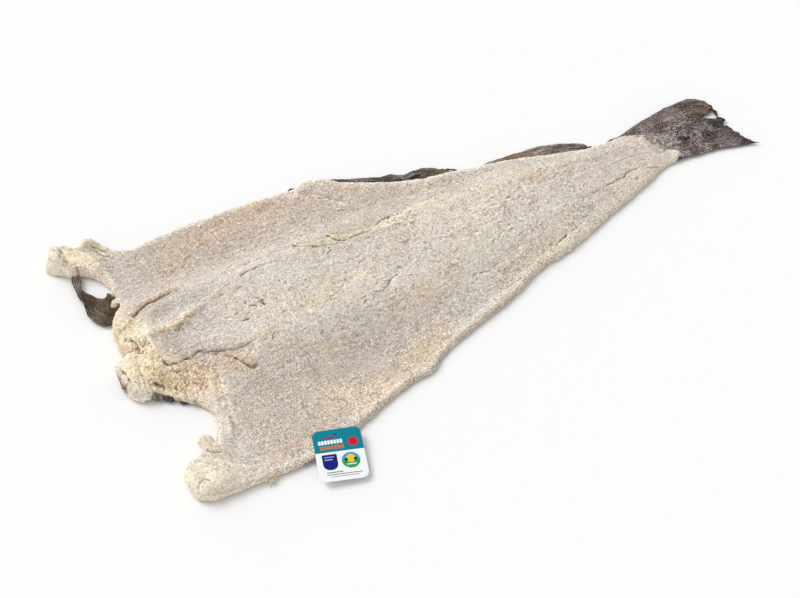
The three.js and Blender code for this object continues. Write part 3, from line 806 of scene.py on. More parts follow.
# Lips and folds of membrane with a crisp crest: stations, height, half width, palette colour, amount.
CRESTS = [
    ([(-5, 35), (1, 43), (8, 50), (15, 54.5), (23, 55.5), (34, 54.5), (46, 55),
    (57, 57)], 1.7, 3.0, "tan", 1.0),
    ([(0, 45), (8, 52), (16, 56.5), (24, 57.5), (36, 56.5), (50, 57)], 0.3, 2.2, "orange", 0.7),
    ([(8, 10.5), (18, 9.5), (30, 8.5), (42, 9.5), (52, 13), (62, 17)], 1.2, 4.4, "butter", 0.95),
    ([(12, 4), (20, 3), (28, 2), (36, 3), (46, 7), (56, 12)], 0.9, 3.2, "tan", 0.5),
    ([(62, 16), (78, 20), (90, 26), (104, 33)], 0.5, 2.0, "olive", 0.45),
    ([(116, 42), (136, 45), (153, 43), (170, 41)], 0.4, 1.8, "cream", 0.5),
    ([(194, 59), (194, 51), (198, 45), (206, 40), (217, 35)], 0.8, 1.5, "yellow", 0.7),
    ([(228, 54), (232, 45), (234.4, 38), (242, 30.5), (254, 30), (270, 29)], 1.1, 1.7, "yellow", 0.9),
    ([(206, 38), (226, 37), (246, 31)], 0.6, 1.6, "yellow", 0.4),
    ([(270, 26), (286, 24), (304, 21), (314, 15)], 1.0, 3.2, "cream", 0.75),
    ([(292, 32), (310, 33), (336, 38), (362, 42)], 0.8, 3.5, "butter", 0.5),
    ([(42, -50), (41, -74), (34, -100), (29, -124), (22, -138)], 0.8, 1.5, "pale", 0.7),
    ([(48, -58), (44, -84), (39, -106), (36, -126)], 0.5, 1.2, "pale", 0.6),
    ([(36, -60), (32, -84), (26, -104)], 0.5, 1.2, "pale", 0.5),
    ([(-18, -146), (-8, -150), (4, -160), (18, -172), (34, -180)], 1.0, 1.8, "pale", 0.4),
    ([(-26, -160), (-12, -166), (2, -176), (8, -184)], 1.0, 1.8, "pale", 0.3),
    ([(0, 152), (14, 148), (26, 138), (40, 128)], 0.4, 0.8, "pale", 0.55),
    ([(2, 146), (16, 142), (30, 130)], 0.4, 0.8, "pale", 0.5),
    ([(10, 140), (24, 130), (38, 112)], 0.3, 0.8, "pale", 0.4),
    ([(-24, 184), (-9, 165), (2, 145), (8, 124), (8, 104)], 1.0, 2.2, "pale", 0.5),
    ([(108, 134), (109, 122), (101, 116), (82, 107), (60, 98)], 0.7, 1.6, "tan", 0.45),
    ([(52, -40), (64, -51), (74, -64), (88, -72)], 1.4, 2.4, "tan", 0.6),
    ([(-33, -44), (-36, -30), (-36, -14), (-31, -3)], 1.2, 2.0, "pale", 0.4),
    ([(-35, -3), (-37.5, -14), (-37.5, -26), (-35, -38)], 0.4, 2.6, "blood", 0.85),
    ([(-36, -8), (-37, -22), (-36, -32)], 0.3, 1.4, "dark", 0.5),
    ([(355, -84), (380, -80), (410, -72)], 0.9, 2.4, "cream", 0.35),
    ([(330, -20), (360, -18), (395, -8)], 0.8, 2.4, "cream", 0.35),
    ([(640, 8), (610, 16), (570, 22), (530, 28)], 0.7, 2.2, "cream", 0.35),
]

# Zones of colour: palette colour, middle x and y, reach along x and y, turn in degrees, amount.
ZONES = [
    ("grey", 105, 112, 120, 46, 0, 0.9), ("pink", 165, 132, 72, 20, 0, 0.7),
    ("tan", 195, 150, 60, 9, 0, 0.45), ("pink", 92, 122, 22, 16, 0, 0.5),
    ("grey", 150, -120, 130, 48, 8, 0.95), ("warm", 236, -136, 44, 18, 16, 0.85),
    ("tan", 232, -138, 34, 15, 16, 0.2),
    ("warm", 190, -150, 60, 14, 12, 0.25), ("pink", 60, -178, 40, 9, 0, 0.45),
    ("pale", -14, -170, 26, 22, 0, 0.8), ("butter", -12, 4, 19, 50, 0, 1.0),
    ("tan", 109, 22, 9, 5, 0, 0.9), ("blood", 111, 22, 4, 2.5, 0, 0.45),
    ("pink", 20, -48, 24, 12, -24, 0.8), ("pale", 26, -58, 24, 13, -40, 0.8),
    ("yellow", -4, 2, 26, 44, 0, 0.12), ("cream", 175, -30, 60, 20, 0, 0.35),
    ("olive", 30, 31, 18, 12, 0, 0.4),
    ("butter", -15, -8, 16, 22, 0, 0.8), ("butter", 6, -50, 34, 20, -35, 0.95),
    ("peach", 24, -52, 24, 14, -35, 0.95), ("tan", -17, 42, 9, 24, 0, 0.7),
    ("olive", -14, 34, 8, 16, 0, 0.5), ("pale", -18, 4, 8, 15, 0, 0.7), ("peach", -4, -20, 9, 9, 0, 0.7),
    ("dusk", 16, -16, 15, 12, -25, 0.6), ("dusk", 27, 33, 17, 14, 0, 0.5),
    ("yellow", -1, -49, 14, 5.5, -60, 1.0), ("olive", -8, -49, 9, 4, -60, 0.9),
    ("orange", 70, -62, 13, 9, -45, 0.5),
    ("tan", 118, -47, 12, 5, 0, 0.35), ("pale", 4, 11, 10, 13, 0, 0.8),
    ("butter", -22, 164, 24, 14, -30, 0.9), ("butter", -8, 146, 16, 11, -50, 0.9),
    ("peach", -30, 178, 14, 8, 0, 0.9), ("pale", -34, 162, 12, 12, 0, 0.6),
    ("tan", -16, 133, 9, 5, -60, 0.7), ("yellow", 14, 164, 14, 4, -36, 0.8),
    ("tan", 16, 162, 10, 2.5, -36, 0.6), ("pink", -14, 168, 14, 6, -35, 0.6),
    ("olive", 8, 178, 9, 9, 0, 0.5),
    ("cream", 4, 112, 6, 26, 0, 0.7), ("green", 0, -126, 9, 8, 0, 0.7),
    ("green", 180, -14, 34, 12, 0, 0.5), ("warm", 265, -78, 44, 14, 10, 0.6),
    ("warm", 330, 30, 60, 14, 8, 0.5), ("cream", 340, 33, 26, 7, 8, 0.5),
    ("pink", 300, 112, 40, 12, -32, 0.45), ("warm", 420, -80, 60, 14, 16, 0.55),
    ("warm", 440, 20, 90, 16, -4, 0.45), ("tan", 420, 24, 12, 6, 0, 0.35),
    ("warm", 610, 8, 40, 18, 0, 0.35), ("warm", 560, -40, 60, 14, 10, 0.4),
    ("tan", 245, -64, 10, 5, 0, 0.3),
    ("olive", 215, 46, 30, 5, -8, 0.4), ("olive", 205, 30, 24, 6, -6, 0.3),
    ("yellow", 190, -6, 16, 5, -10, 0.25), ("green", 370, -44, 40, 16, 0, 0.4),
    ("green", 130, -70, 20, 8, 0, 0.35), ("grey", 60, -4, 30, 14, 0, 0.5),
    ("grey", 280, -10, 120, 20, 2, 0.15), ("pale", 365, 4, 70, 34, 2, 0.22),
    ("grey", 550, -8, 90, 26, 4, 0.6), ("grey", 66, 34, 42, 18, 20, 0.6),
    ("dusk", 258, 42, 54, 16, 8, 0.6), ("olive", 258, 40, 50, 12, 8, 0.3),
    ("olive", 158, -89, 28, 8, -20, 0.4), ("tan", 473, 17, 10, 12, 0, 0.35),
    ("peach", 160, -158, 40, 17, -20, 0.35), ("butter", 155, -150, 44, 22, -20, 0.4),
    ("butter", 227, -30, 9, 7, 0, 0.5), ("olive", 165, -35, 14, 6, -60, 0.4),
    ("slate", 651, 0, 7, 17, 0, 0.5),
]  # fmt: skip

# Flecks of colour in the torn flesh: palette colour, size, seed, amount.
TORN_FLECKS = [
    ("peach", 17, 91, 0.5), ("tan", 12, 92, 0.4), ("yellow", 15, 93, 0.3), ("pale", 11, 94, 0.7),
    ("orange", 8, 95, 0.2), ("butter", 7, 96, 0.5), ("brown", 4.5, 97, 0.2),
    ("tan", 3.4, 131, 0.35), ("pale", 3.0, 132, 0.35), ("olive", 5.5, 133, 0.3), ("brown", 2.6, 134, 0.2),
]  # fmt: skip
DARK_FLECKS = ("brown", "tan", "olive", "yellow", "orange")

# The neck's edge beside the near notch, which is dark low down.
NOTCH_EDGE = [(-20, -46), (-5, -59), (7, -71), (17, -81)]

# A bare, smooth membrane on the near flap.
MEMBRANE = [(134, -109), (157, -118), (180, -128), (198, -146)]


def tint_zones(colour, flat):
    """Blotches all over, and the zones of colour with their wandering outlines."""
    blotch = layered(flat, 50, 3, 11)
    paint(colour, "warm", smoothstep(blotch, 0.2, 0.9) * 0.35)
    paint(colour, "grey", smoothstep(-blotch, 0.1, 0.8) * 0.45)
    wander = noises(flat, 34, 3, 4) * 7 + noises(flat, 11, 5, 6) * 4
    x, y = (flat[:, :2] + wander).T
    patchy = 1 + 0.5 * noise(flat, 7, 21)
    for name, zone_x, zone_y, reach_x, reach_y, turn, amount in ZONES:
        u, v = turned_axes(x - zone_x, y - zone_y, turn)
        u, v = u / reach_x, v / reach_y
        paint(colour, name, amount * patchy * np.exp(-((u * u + v * v) ** 1.5)))


def tint_edges(colour, points, flat, inset, rise):
    """The belly flaps, the edges, thin and tan or thick and pale, and the walls under them, with painted
    light on the walls and painted shade along the rims.
    """
    x, y = points.T[:2]
    on_flap = flap_share(x, y) * smoothstep(inset, 4, 14)
    paint(colour, "flap", on_flap * np.where(y > 0, 0.5, 0.36 - 0.3 * smoothstep(x, 150, 230)))
    edge = falling(inset, 0, 8 + 4 * noise(flat, 15, 31))
    thin = smoothstep(x, 20, 60) * np.where(y > 0, 1, 0.8 * falling(x, 320, 400))
    paint(colour, "cream", edge * (0.5 - 0.4 * thin))
    paint(colour, "pink", edge * smoothstep(noise(flat, 22, 32), 0.0, 0.7) * 0.5)
    far = (y > 0) & (x < 560)
    paint(colour, "tan", thin * falling(inset, 0, np.where(far, 4.0, 2.5)) * np.where(far, 0.65, 0.35))
    # The walls are painted cream and paler: the cut flesh's own colour, and painted light where the lamps
    # leave them dark.
    wall = rise < 1
    paint(colour, "cream", np.where(wall, 0.55 - 0.35 * thin, 0))
    paint(colour, "tan", np.where(wall, smoothstep(noise(points, 9, 33), 0.1, 0.7) * 0.35, 0))
    paint(colour, "pale", np.where(wall & (x < 20), 0.4, 0))
    # Painted shade along the far rim, whose rounded edge catches the light.
    colour *= (1 - 0.24 * far * smoothstep(x, 10, 50) * falling(inset, 0, 4.5))[:, None]
    # Warmer along the near rim, with painted shade there, whose rounded edge catches the light.
    near_rim = smoothstep(x, 60, 120) * falling(x, 330, 420) * (y < 0) * falling(inset, 0, 7)
    paint(colour, "warm", near_rim * 0.5)
    colour *= (1 - 0.10 * near_rim)[:, None]


def tint_lines(colour, points, flat):
    """Streaks and flecks along the muscle, and the crests."""
    streak = along(flat, 0, 60, 3.2, 41) + 0.5 * along(flat, 4, 30, 1.8, 42)
    paint(colour, "cream", smoothstep(streak, 0.45, 1.2) * 0.3)
    paint(colour, "grey", smoothstep(-streak, 0.4, 1.1) * 0.35)
    flecks = smoothstep(noise(flat, (9.0, 6.0, 6.0), 43) + 0.6 * noise(flat, 27, 44), 0.45, 0.85)
    paint(colour, "cream", flecks * 0.5)
    uneven = np.clip(0.8 + 0.7 * noise(flat, 5, 98), 0.3, 1.3)
    for line, _, half, name, amount in CREST_LINES:
        away, _, share = near_line(points, line, 3 * half)
        paint(colour, name, amount * uneven * taper(share, 0.12) * ridge_over(away, 1.1 * half))


def tint_dark_wall_patches(colour, points, rise):
    """What shows dark low down beside the near notch, and under the near edge."""
    x, y = points.T[:2]
    low = np.where(rise < 0.72, falling(away_from(points, NOTCH_EDGE, 6), 2.0, 5.0), 0)
    paint(colour, "gill", low * (0.5 + 0.5 * noise(points, 4, 34)))
    # A dark red-brown patch on the wall under the near edge beside the label.
    dark_under_edge = ridge_over(x - 77, 9, 4) * (y < -189) * (rise < 0.98)
    paint(colour, "blood", 0.95 * dark_under_edge)
    paint(colour, "dark", 0.6 * dark_under_edge)


def tint_torn(colour, points, torn):
    """The flecks and fibres of the torn flesh."""
    strand = fibrous(points)
    spared = 1 - 0.8 * np.maximum(strand, clean(*points.T[:2]))
    for name, size, seed, amount in TORN_FLECKS:
        if name in DARK_FLECKS:
            amount = amount * spared
        paint(colour, name, torn * smoothstep(noise(points, size, seed), 0.15, 0.6) * amount)
    paint(colour, "butter", strand * smoothstep(along(points, -55, 22, 2.6, 87), 0.1, 0.7) * 0.8)
    paint(colour, "tan", strand * smoothstep(along(points, -52, 18, 2.2, 88), 0.3, 0.8) * 0.35)


def flesh_tint(points, inset, rise, painted_shade, cavity):
    """Linear colour of each vertex, painted shade and highlight included; the fourth argument is how much
    shade is painted into the cracks there, cavity how sunk in mm.
    """
    x, y = points.T[:2]
    flat = on_ground(x, y)
    torn = crumbly(points)
    colour = coat(PALETTE["flesh"], len(x))
    tint_zones(colour, flat)
    tint_edges(colour, points, flat, inset, rise)
    tint_lines(colour, points, flat)
    tint_dark_wall_patches(colour, points, rise)
    tint_torn(colour, points, torn)
    # Painted highlight on bumps and painted shade in hollows, from how sunk each vertex is, weaker around
    # (40, -96).
    cavity = cavity * (1 - 0.7 * spot(x, y, 40, -96, 24, 34))
    paint(colour, "pale", smoothstep(-cavity, 0.12, 0.7) * 0.45)
    paint(colour, "tan", smoothstep(cavity, 0.2, 1.0) * 0.35 * torn)
    paint(colour, "brown", smoothstep(cavity, 0.14, 0.85) * 0.6 * (1 - 0.9 * torn))
    frayed = smoothstep(x + 9 * noise(flat, 7, 36), 630, 641) * smoothstep(y, -23, -16)
    paint(colour, "slate", frayed * smoothstep(noise(flat, 4.5, 37), -0.6, 0.2))
    paint(colour, "brown", 0.8 * frayed * smoothstep(noise(flat, 3.4, 38), 0.0, 0.35))
    # Painted shade in the cracks, creases and gaps.
    paint(colour, "brown", smoothstep(painted_shade, 0.25, 1.2) * 0.75)
    paint(colour, "dark", smoothstep(painted_shade, 0.9, 1.9) * 0.8)
    return colour


def clean(x, y):
    """How clean and pale the flesh is beside the near flap, 0 to 1."""
    return spot(x, y, 24, -58, 26, 17)


def crumbly(points):
    """How torn and crumbly the flesh is at a point, 0 to 1."""
    x, y = points.T[:2]
    neck = spot(x, y, -11, -2, 22, 62, 4)
    neck *= 1 - 0.8 * spot(x, y, -33, 2, 9, 11)
    neck *= 1 - 0.75 * spot(x, y, 4, 11, 11, 14)
    neck *= 1 - 0.5 * spot(x, y, -22, -28, 12, 16)
    torn = spot(x, y, 22, -52, 26, 20)
    pocket = 0.7 * spot(x, y, 70, -62, 16, 12)
    near_ear = 0.28 * spot(x, y, -14, -168, 30, 26, 4)
    far_ear = 0.18 * spot(x, y, -14, 166, 30, 26, 4)
    return np.clip(np.max([0.62 * neck, torn, pocket, near_ear, far_ear], 0), 0, 1)


def fibrous(points):
    """How much the flesh shows as torn fibres, 0 to 1: between the neck and the near flap."""
    return np.clip(1.25 * spot(*points.T[:2], 24, -54, 26, 19), 0, 1)


def smoothness(points):
    """How smooth the flesh is, 0 to 1: on the thick ears, by the tail and on the bare membrane."""
    x, y = points.T[:2]
    far_ear = 0.35 * spot(x, y, -18, 164, 26, 24, 4)
    near_ear = 0.6 * spot(x, y, -12, -168, 28, 24, 4)
    membrane = 0.8 * ridge_over(away_from(points, MEMBRANE, 24), 9)
    tail = 0.7 * smoothstep(x, 540, 600) * falling(y, -14, 4)
    return np.max([far_ear, near_ear, membrane, tail], 0)


def flap_share(x, y):
    """How far a point lies out on the belly flaps, 0 to 1."""
    middle, half = (np.interp(x, SECTIONS[:, 0], SECTIONS[:, k]) for k in (2, 3))
    return smoothstep(np.abs(y - middle) / half, 0.75, 1.3) * smoothstep(x, 20, 60)


# Where flakes lie: lowest and highest x, lowest and highest y, and how many.
FLAKE_PATCHES = [
    (190, 520, -72, 46, 130), (40, 190, -80, 60, 34), (40, 250, -180, -110, 22), (60, 260, 70, 145, 22),
]  # fmt: skip


def lengthen(line, heading, run):
    """Adds a point to a line, a run further on in the direction of the heading."""
    line.append(line[-1] + run * turned_to(heading))


def make_flakes():
    """Small lifted flakes of dried flesh: short curved lines, each with the height of its step."""
    made = []
    for low_x, high_x, low_y, high_y, count in FLAKE_PATCHES:
        for _ in range(count):
            x, y = RANDOM.uniform(low_x, high_x), RANDOM.uniform(low_y, high_y)
            y *= 1 - 0.5 * max(0, (x - 300) / 300)
            heading, bend = np.radians(RANDOM.normal(20, 38)), RANDOM.normal(0, 0.09)
            line = [np.array([x, y])]
            for _ in range(RANDOM.randint(4, 12)):
                heading += bend + RANDOM.normal(0, 0.16)
                lengthen(line, heading, 1.2)
            made.append((np.array(line), RANDOM.uniform(0.25, 0.7)))
    return made


def make_neck_cracks(count):
    """Short, thin, crooked cracks over the torn neck."""
    made = []
    for _ in range(count):
        x, y = RANDOM.uniform(-26, 14), RANDOM.uniform(-44, 62)
        heading = np.radians(RANDOM.normal(-70, 45))
        line = [np.array([x, y])]
        for _ in range(RANDOM.randint(2, 5)):
            heading += RANDOM.normal(0, 0.6)
            lengthen(line, heading, RANDOM.uniform(1.6, 3.4))
        made.append((line, RANDOM.uniform(0.9, 1.8), RANDOM.uniform(0.45, 0.7), RANDOM.uniform(0.5, 1.1)))
    return made


FLAKES = make_flakes()
CRACKS += make_neck_cracks(14)
CRACK_LINES = [(wavy(c[0], 0.9, 300 + 2 * k), *c[1:]) for k, c in enumerate(CRACKS)]
CREST_LINES = [(wavy(c[0], 1.3, 500 + 2 * k), *c[1:]) for k, c in enumerate(CRESTS)]


def add_lines(points, flat, relief, painted_shade):
    """Adds the cracks, crests and flakes, with painted shade in the cracks and under the flakes' steps;
    returns how ropy the thick crests at the neck are.
    """
    uneven = np.clip(0.8 + 0.9 * noise(flat, 8, 56), 0.1, 1.5)
    for line, depth, half, dark in CRACK_LINES:
        away, _, share = near_line(points, line, 5 * half)
        fade = taper(share, 0.15)
        cut = fade * ridge_over(away, half, 1.4)
        relief -= 0.8 * depth * cut
        relief += 0.2 * depth * fade * ridge_over(away - 2.2 * half, half)
        painted_shade += 1.15 * dark * cut * uneven
    lumps = np.clip(1 + 0.6 * noise(flat, 5, 57), 0.2, 2)
    ropy = np.zeros(len(points))
    for line, height, half, _, _ in CREST_LINES:
        away, _, share = near_line(points, line, 3 * half)
        body = taper(share, 0.1) * ridge_over(away, half, 1.6)
        relief += body * height * lumps
        if half > 2.7 and len(line) < 80:
            ropy = np.maximum(ropy, body * (points[:, 0] < 112))
    for line, height in FLAKES:
        away, side, share = near_line(points, line, 6)
        fade = height * taper(share, 0.35)
        relief += fade * np.where(side > 0, ridge_over(away, 3.2), ridge_over(away, 0.5))
        sunk = fade * (away < 3) * ridge_over(side + 0.7, 0.6)
        relief -= sunk
        painted_shade += 1.6 * sunk
    return ropy


def add_grain(points, flat, warp, torn, rise, relief, painted_shade):
    """Adds the swells, wrinkles, grain and pits of the dry flesh, and its split muscle, with painted shade
    in the pits and splits.
    """
    x, y = points.T[:2]
    pits = smoothstep(noise(points, 6, 66) + 0.5 * noise(points, 3, 67), 0.5, 1.0)
    fibre_way = along(points, -3, 26, 3.2, 71) + 0.6 * along(points, 5, 13, 2.4, 72)
    rear_loin = smoothstep(x, 230, 320) * falling(x, 480, 600) * (ridge_over(y + 8, 75, 4) * (x > 40))
    slant = along(points + warp, 28, 12, 4.0, 73)
    split = falling(np.abs(slant), 0.03, 0.16) * smoothstep(noise(flat, 24, 74), -0.1, 0.4)
    smooth = 1 - 0.75 * smoothness(points)
    fine = 0.14 * noise(points, 4.4, 64) + 0.22 * noise(points, 2.9, 65)
    fine = fine + 0.32 * (0.5 - np.abs(noise(points + warp, (9.0, 5.5, 5.5), 68)))
    fine = fine + 0.24 * (0.4 - np.abs(noise(points + 0.5 * warp, (5.0, 3.6, 3.6), 69)))
    relief += 0.8 * layered(points, 26, 3, 61) + smooth * fine
    relief += 0.1 * RANDOM.normal(size=len(x)) * (rise > 0) * smooth
    relief += 0.26 * fibre_way * (1 - torn)
    relief -= 0.25 * pits + rear_loin * 0.8 * split
    painted_shade += 0.04 * pits + 0.3 * rear_loin * split


def add_torn(points, flat, warp, torn, ropy, relief, painted_shade):
    """Adds the lumps, knots and creases of the torn flesh and the ropy crests, with painted shade in their
    creases; returns its beads.
    """
    intact, fibres = 1 - torn, fibrous(points)
    lumps = np.abs(along(points + 2.2 * warp, -72, 34, 13.0, 78, 2.0))
    knots = np.abs(along(points + 1.4 * warp, -50, 11, 5.5, 79, 2.0))
    beads = np.abs(noise(points + 0.6 * warp, (3.6, 3.0, 3.0), 82))
    crumb = np.abs(noise(points, (2.5, 2.2, 2.2), 135))
    relief += torn * ((1 - 0.6 * fibres) * (4.2 * lumps + 1.7 * knots) + 0.8 * beads + 0.6 * crumb - 1.7)
    relief += 0.45 * torn * (1 - fibres) * along(points + 2.0 * warp, -78, 15, 2.4, 99)
    relief += ropy * intact * (3.0 * knots + 2.2 * beads + 1.2 * crumb - 1.6)
    creases = smoothstep(-lumps, -0.08, 0.0) + 0.7 * smoothstep(-knots, -0.09, 0.0)
    painted_shade += torn * 0.8 * creases * smoothstep(noise(flat, 16, 58), -0.2, 0.4) * (1 - 0.5 * fibres)
    painted_shade += ropy * intact * 0.8 * smoothstep(-knots, -0.08, 0.0)
    return beads


def add_fibres(points, warp, torn, relief, painted_shade):
    """Adds the torn fibres between the neck and the near flap, and the crumbs around them, with painted
    shade in the strands' dips and the crumbs' gaps.
    """
    fibres = fibrous(points)
    strand = along(points + 0.7 * warp, -55, 24, 3.4, 83)
    relief += fibres * (0.9 * strand + 0.5 * along(points + warp, -50, 12, 1.9, 84))
    painted_shade += fibres * 0.2 * smoothstep(-strand, 0.45, 0.8)
    rough = np.clip(1.1 * fibres + 0.35 * torn, 0, 1)
    some = rough > 0.03
    for size, seed, height, dark in ((5.4, 3, 1.5, 0.42), (2.9, 5, 0.6, 0.12)):
        lying = (size, 0.75 * size, 0.75 * size)
        first, second = crumbs(points[some] + 0.6 * warp[some], lying, seed)
        gap = second - first
        relief[some] += rough[some] * height * (smoothstep(gap, 0.0, 0.4) - 0.6)
        shown = smoothstep(noise(points[some], 9, 59 + seed), -0.4, 0.3)
        painted_shade[some] += dark * rough[some] * falling(gap, 0.03, 0.17) * shown


def add_spine(x, y, flat, relief):
    """Adds the low, jointed ridge over the backbone near the tail."""
    spine = smoothstep(x, 470, 520) * falling(x, 630, 648) * ridge_over(y - 14 + 0.13 * (x - 500), 8)
    joints = np.cos(2 * np.pi * (x + 1.5 * noise(flat, 12, 80)) / 9.2)
    relief += 0.16 * spine * joints * (1 + noise(flat, 18, 81))


def detail(points, inset, rise):
    """Fine relief along the normals in mm, and how much shade is painted into the cracks, creases and
    gaps.
    """
    x, y = points.T[:2]
    flat = on_ground(x, y)
    warp = on_ground(noise(flat, 14, 51), noise(flat, 14, 52)) * 2.2
    warp += on_ground(noise(flat, 5, 53), noise(flat, 5, 54)) * 0.9
    torn = crumbly(points)
    relief, painted_shade = np.zeros((2, len(x)))
    ropy = add_lines(points, flat, relief, painted_shade)
    add_grain(points, flat, warp, torn, rise, relief, painted_shade)
    beads = add_torn(points, flat, warp, torn, ropy, relief, painted_shade)
    add_fibres(points, warp, torn, relief, painted_shade)
    add_spine(x, y, flat, relief)
    layers = along(points, 0, 22, 3.0, 75, 3.0)
    walls = 0.6 * relief + 0.5 * layers + 0.5 * noise(points, 9, 85)
    walls = walls + torn * (2.2 * beads + 1.4 * np.abs(noise(points, 7, 86)) - 0.8)
    relief = np.where(rise < 1, walls, relief)
    relief += 0.6 * falling(inset, 0, 5) * noise(points, 7, 76)
    return relief, painted_shade


def seam_points(ring):
    """Extra points on and beside the cracks and crests, so that they come out crisp."""
    rows = []
    for line, _, half, *_ in CRACK_LINES + CREST_LINES:
        left = left_of(line)
        rows += [line, line + left * half, line - left * half]
    for line, _ in FLAKES:
        left = left_of(line)
        rows += [line + left * 0.3, line - left * 0.7, line - left * 1.6]
    points = np.vstack(rows)
    _, kept = np.unique(np.floor(points / 0.85).astype(int), axis=0, return_index=True)
    points = points[np.sort(kept)]
    return points[within(points, ring) & (inset_of(points, ring) > 0.7)]


def cavity_of(vertices, normals, tris, rounds):
    """How far each vertex lies below the average around it, in mm."""
    start, end = edges_of(tris).T
    count = np.maximum(np.bincount(start, minlength=len(vertices)), 1)
    around = vertices
    for _ in range(rounds):
        sums = [np.bincount(start, around[end, k], len(vertices)) for k in range(3)]
        around = np.column_stack(sums) / count[:, None]
    return ((around - vertices) * normals).sum(1)


def ragged(ring):
    """The outline with small bites and bumps, most of them along the torn neck."""
    x, y = ring.T
    flat = on_ground(x, y)
    amount = 0.25 + 1.5 * spot(x, y, -12, -10, 22, 66, 4) + 0.5 * spot(x, y, -5, 112, 12, 26)
    bumps = noise(flat, 9, 89) + 0.9 * np.abs(noise(flat, 5.0, 90)) - 0.3
    closed = np.vstack([ring[-1:], ring, ring[:1]])
    return ring - left_of(closed)[1:-1] * (amount * bumps)[:, None]


# A crack that runs down over the far ear's side, through space.
EAR_CRACK = np.array([
    [-27, 166, 25], [-30, 160, 23], [-29, 156, 20], [-27, 153, 15], [-24, 150, 9], [-23, 148, 3],
], float)  # fmt: skip


def near_path(points, path):
    """Distance from points to a line through space."""
    away = np.full(len(points), 1e3)
    for a, b in zip(path, path[1:]):
        t = np.clip((points - a) @ (b - a) / ((b - a) @ (b - a)), 0, 1)
        away = np.minimum(away, np.linalg.norm(points - a - t[:, None] * (b - a), axis=1))
    return away


# The spacing of the outline's points, and that of the points in each part of the flesh.
OUTLINE_STEP = 1.45
NECK_BOX = ((-40, -92), (76, 72))
FLESH_GRIDS = [(1.0, NECK_BOX), (1.6, ((-50, -200), (112, 190))), (1.92, ((112, -200), (660, 190)))]
UNDER_STEP = 14.0
SEAM_GAP = 0.75
WALL_ROWS = 7
MOST_TRIANGLES = 199000


def flesh_mesh():
    """The flesh without its fine relief: finest at the neck, with points along the cracks."""
    ring = ragged(ring_of(FLESH_STROKES, OUTLINE_STEP))
    seams = seam_points(ring)
    neck, front, rear = [lattice(ring, step, box) for step, box in FLESH_GRIDS]
    low, high = NECK_BOX
    beside_neck = ((front <= low) | (front >= high)).any(1)
    loose = np.vstack([neck, front[beside_neck], rear])
    loose = loose[distances(loose, tree_of(seams)) > SEAM_GAP]
    under = lattice(ring, UNDER_STEP)
    return slab(ring, np.vstack([seams, loose]), flesh_top, flesh_bottom, under, WALL_ROWS)


def make_flesh():
    """The split flesh side, and the walls down to the skin, with its relief and tint, painted shade and
    highlight included.
    """
    vertices, tris, rise, inset = flesh_mesh()
    assert len(tris) < MOST_TRIANGLES, len(tris)
    x, y = vertices.T[:2]
    relief, painted_shade = detail(vertices, inset, rise)
    under = rise == 0
    relief[under] = 0
    relief *= smoothstep(rise, 0, 0.3)
    bulge = np.where((rise > 0) & (rise < 1), np.sin(np.pi * rise) * 0.9, 0)
    # The crack down the far ear's side, sunk and with painted shade.
    crack = ridge_over(near_path(vertices, EAR_CRACK), 0.8)
    relief -= 1.3 * crack
    painted_shade += 0.9 * crack
    placed = vertices + normals_of(vertices, tris) * (relief + bulge)[:, None]
    # The outer edge of the far ear leans inwards as it rises.
    placed[:, 0] += 5.5 * spot(*placed.T[:2], -42, 174, 13, 16) * smoothstep(placed[:, 2], 0, 23)
    placed[:, 2] = np.maximum(placed[:, 2], np.where(under, vertices[:, 2], 0.5))
    fresh = normals_of(placed, tris)
    cavity = 1.3 * cavity_of(placed, fresh, tris, 2) + 0.5 * cavity_of(placed, fresh, tris, 9)
    cavity *= (rise > 0.2) * smoothstep(inset + 4 * (rise < 1), 0.0, 2.5)
    colour = flesh_tint(vertices, inset, rise, painted_shade, cavity)
    speckle = 0.72 + 0.28 * flap_share(x, y)
    speckle *= (1 - 0.35 * crumbly(vertices)) * (1 - 0.6 * smoothness(vertices))
    speckle *= 1 - 0.5 * clean(x, y)
    return piece("flesh", placed, tris, flesh_material(), colour, speckle)


# ------------------------------------------------------------------ the skin underneath

BACK_LINE = [(-20, 2), (60, -2), (200, -12), (340, -15), (450, -10), (560, -6), (640, -2)]
LATERAL_LINE = [(0, 74), (120, 66), (240, 44), (400, 22), (620, 8)]
BACK_FINS = [(62, 176, 30), (206, 340, 26), (376, 486, 20)]  # lowest x, highest x, width


def back_fin(x, y, low, high, width):
    """Where a folded back fin lies, 0 to 1, and its rays, 1 on a ray and -1 between two."""
    share = (x - low) / (high - low)
    reach = width * np.sin(np.pi * np.clip(share, 0, 1)) ** 0.6
    out = np.interp(x, *zip(*BACK_LINE)) - y
    inside = smoothstep(out, -1.5, 0.5) * falling(out, reach - 1.5, reach) * (share > 0) * (share < 1)
    return inside, np.cos(2 * np.pi * (x + 0.9 * out) / 4.6)


def skin_top(xy, inset):
    return curl(inset) + 1.9


def skin_bottom(xy, inset):
    """The skin's outer side, with the back fins pressed flat along the middle."""
    x, y = xy.T
    p = on_ground(x, y)
    lift = 0.85 + 0.22 * layered(p, 30, 3, 81) + 0.12 * noise(p, 5, 84)
    lift += 0.25 * (1 - ridge_over(y - np.interp(x, *zip(*BACK_LINE)), 5))
    for fin_place in BACK_FINS:
        inside, rays = back_fin(x, y, *fin_place)
        lift = lift * (1 - inside) + inside * (0.22 + 0.14 * rays)
    lift -= 0.25 * ridge_over(away_from(xy, LATERAL_LINE, 6, 4.0), 1.4)
    return np.maximum(curl(inset) + lift, 0.02)


SKIN = skin_material()


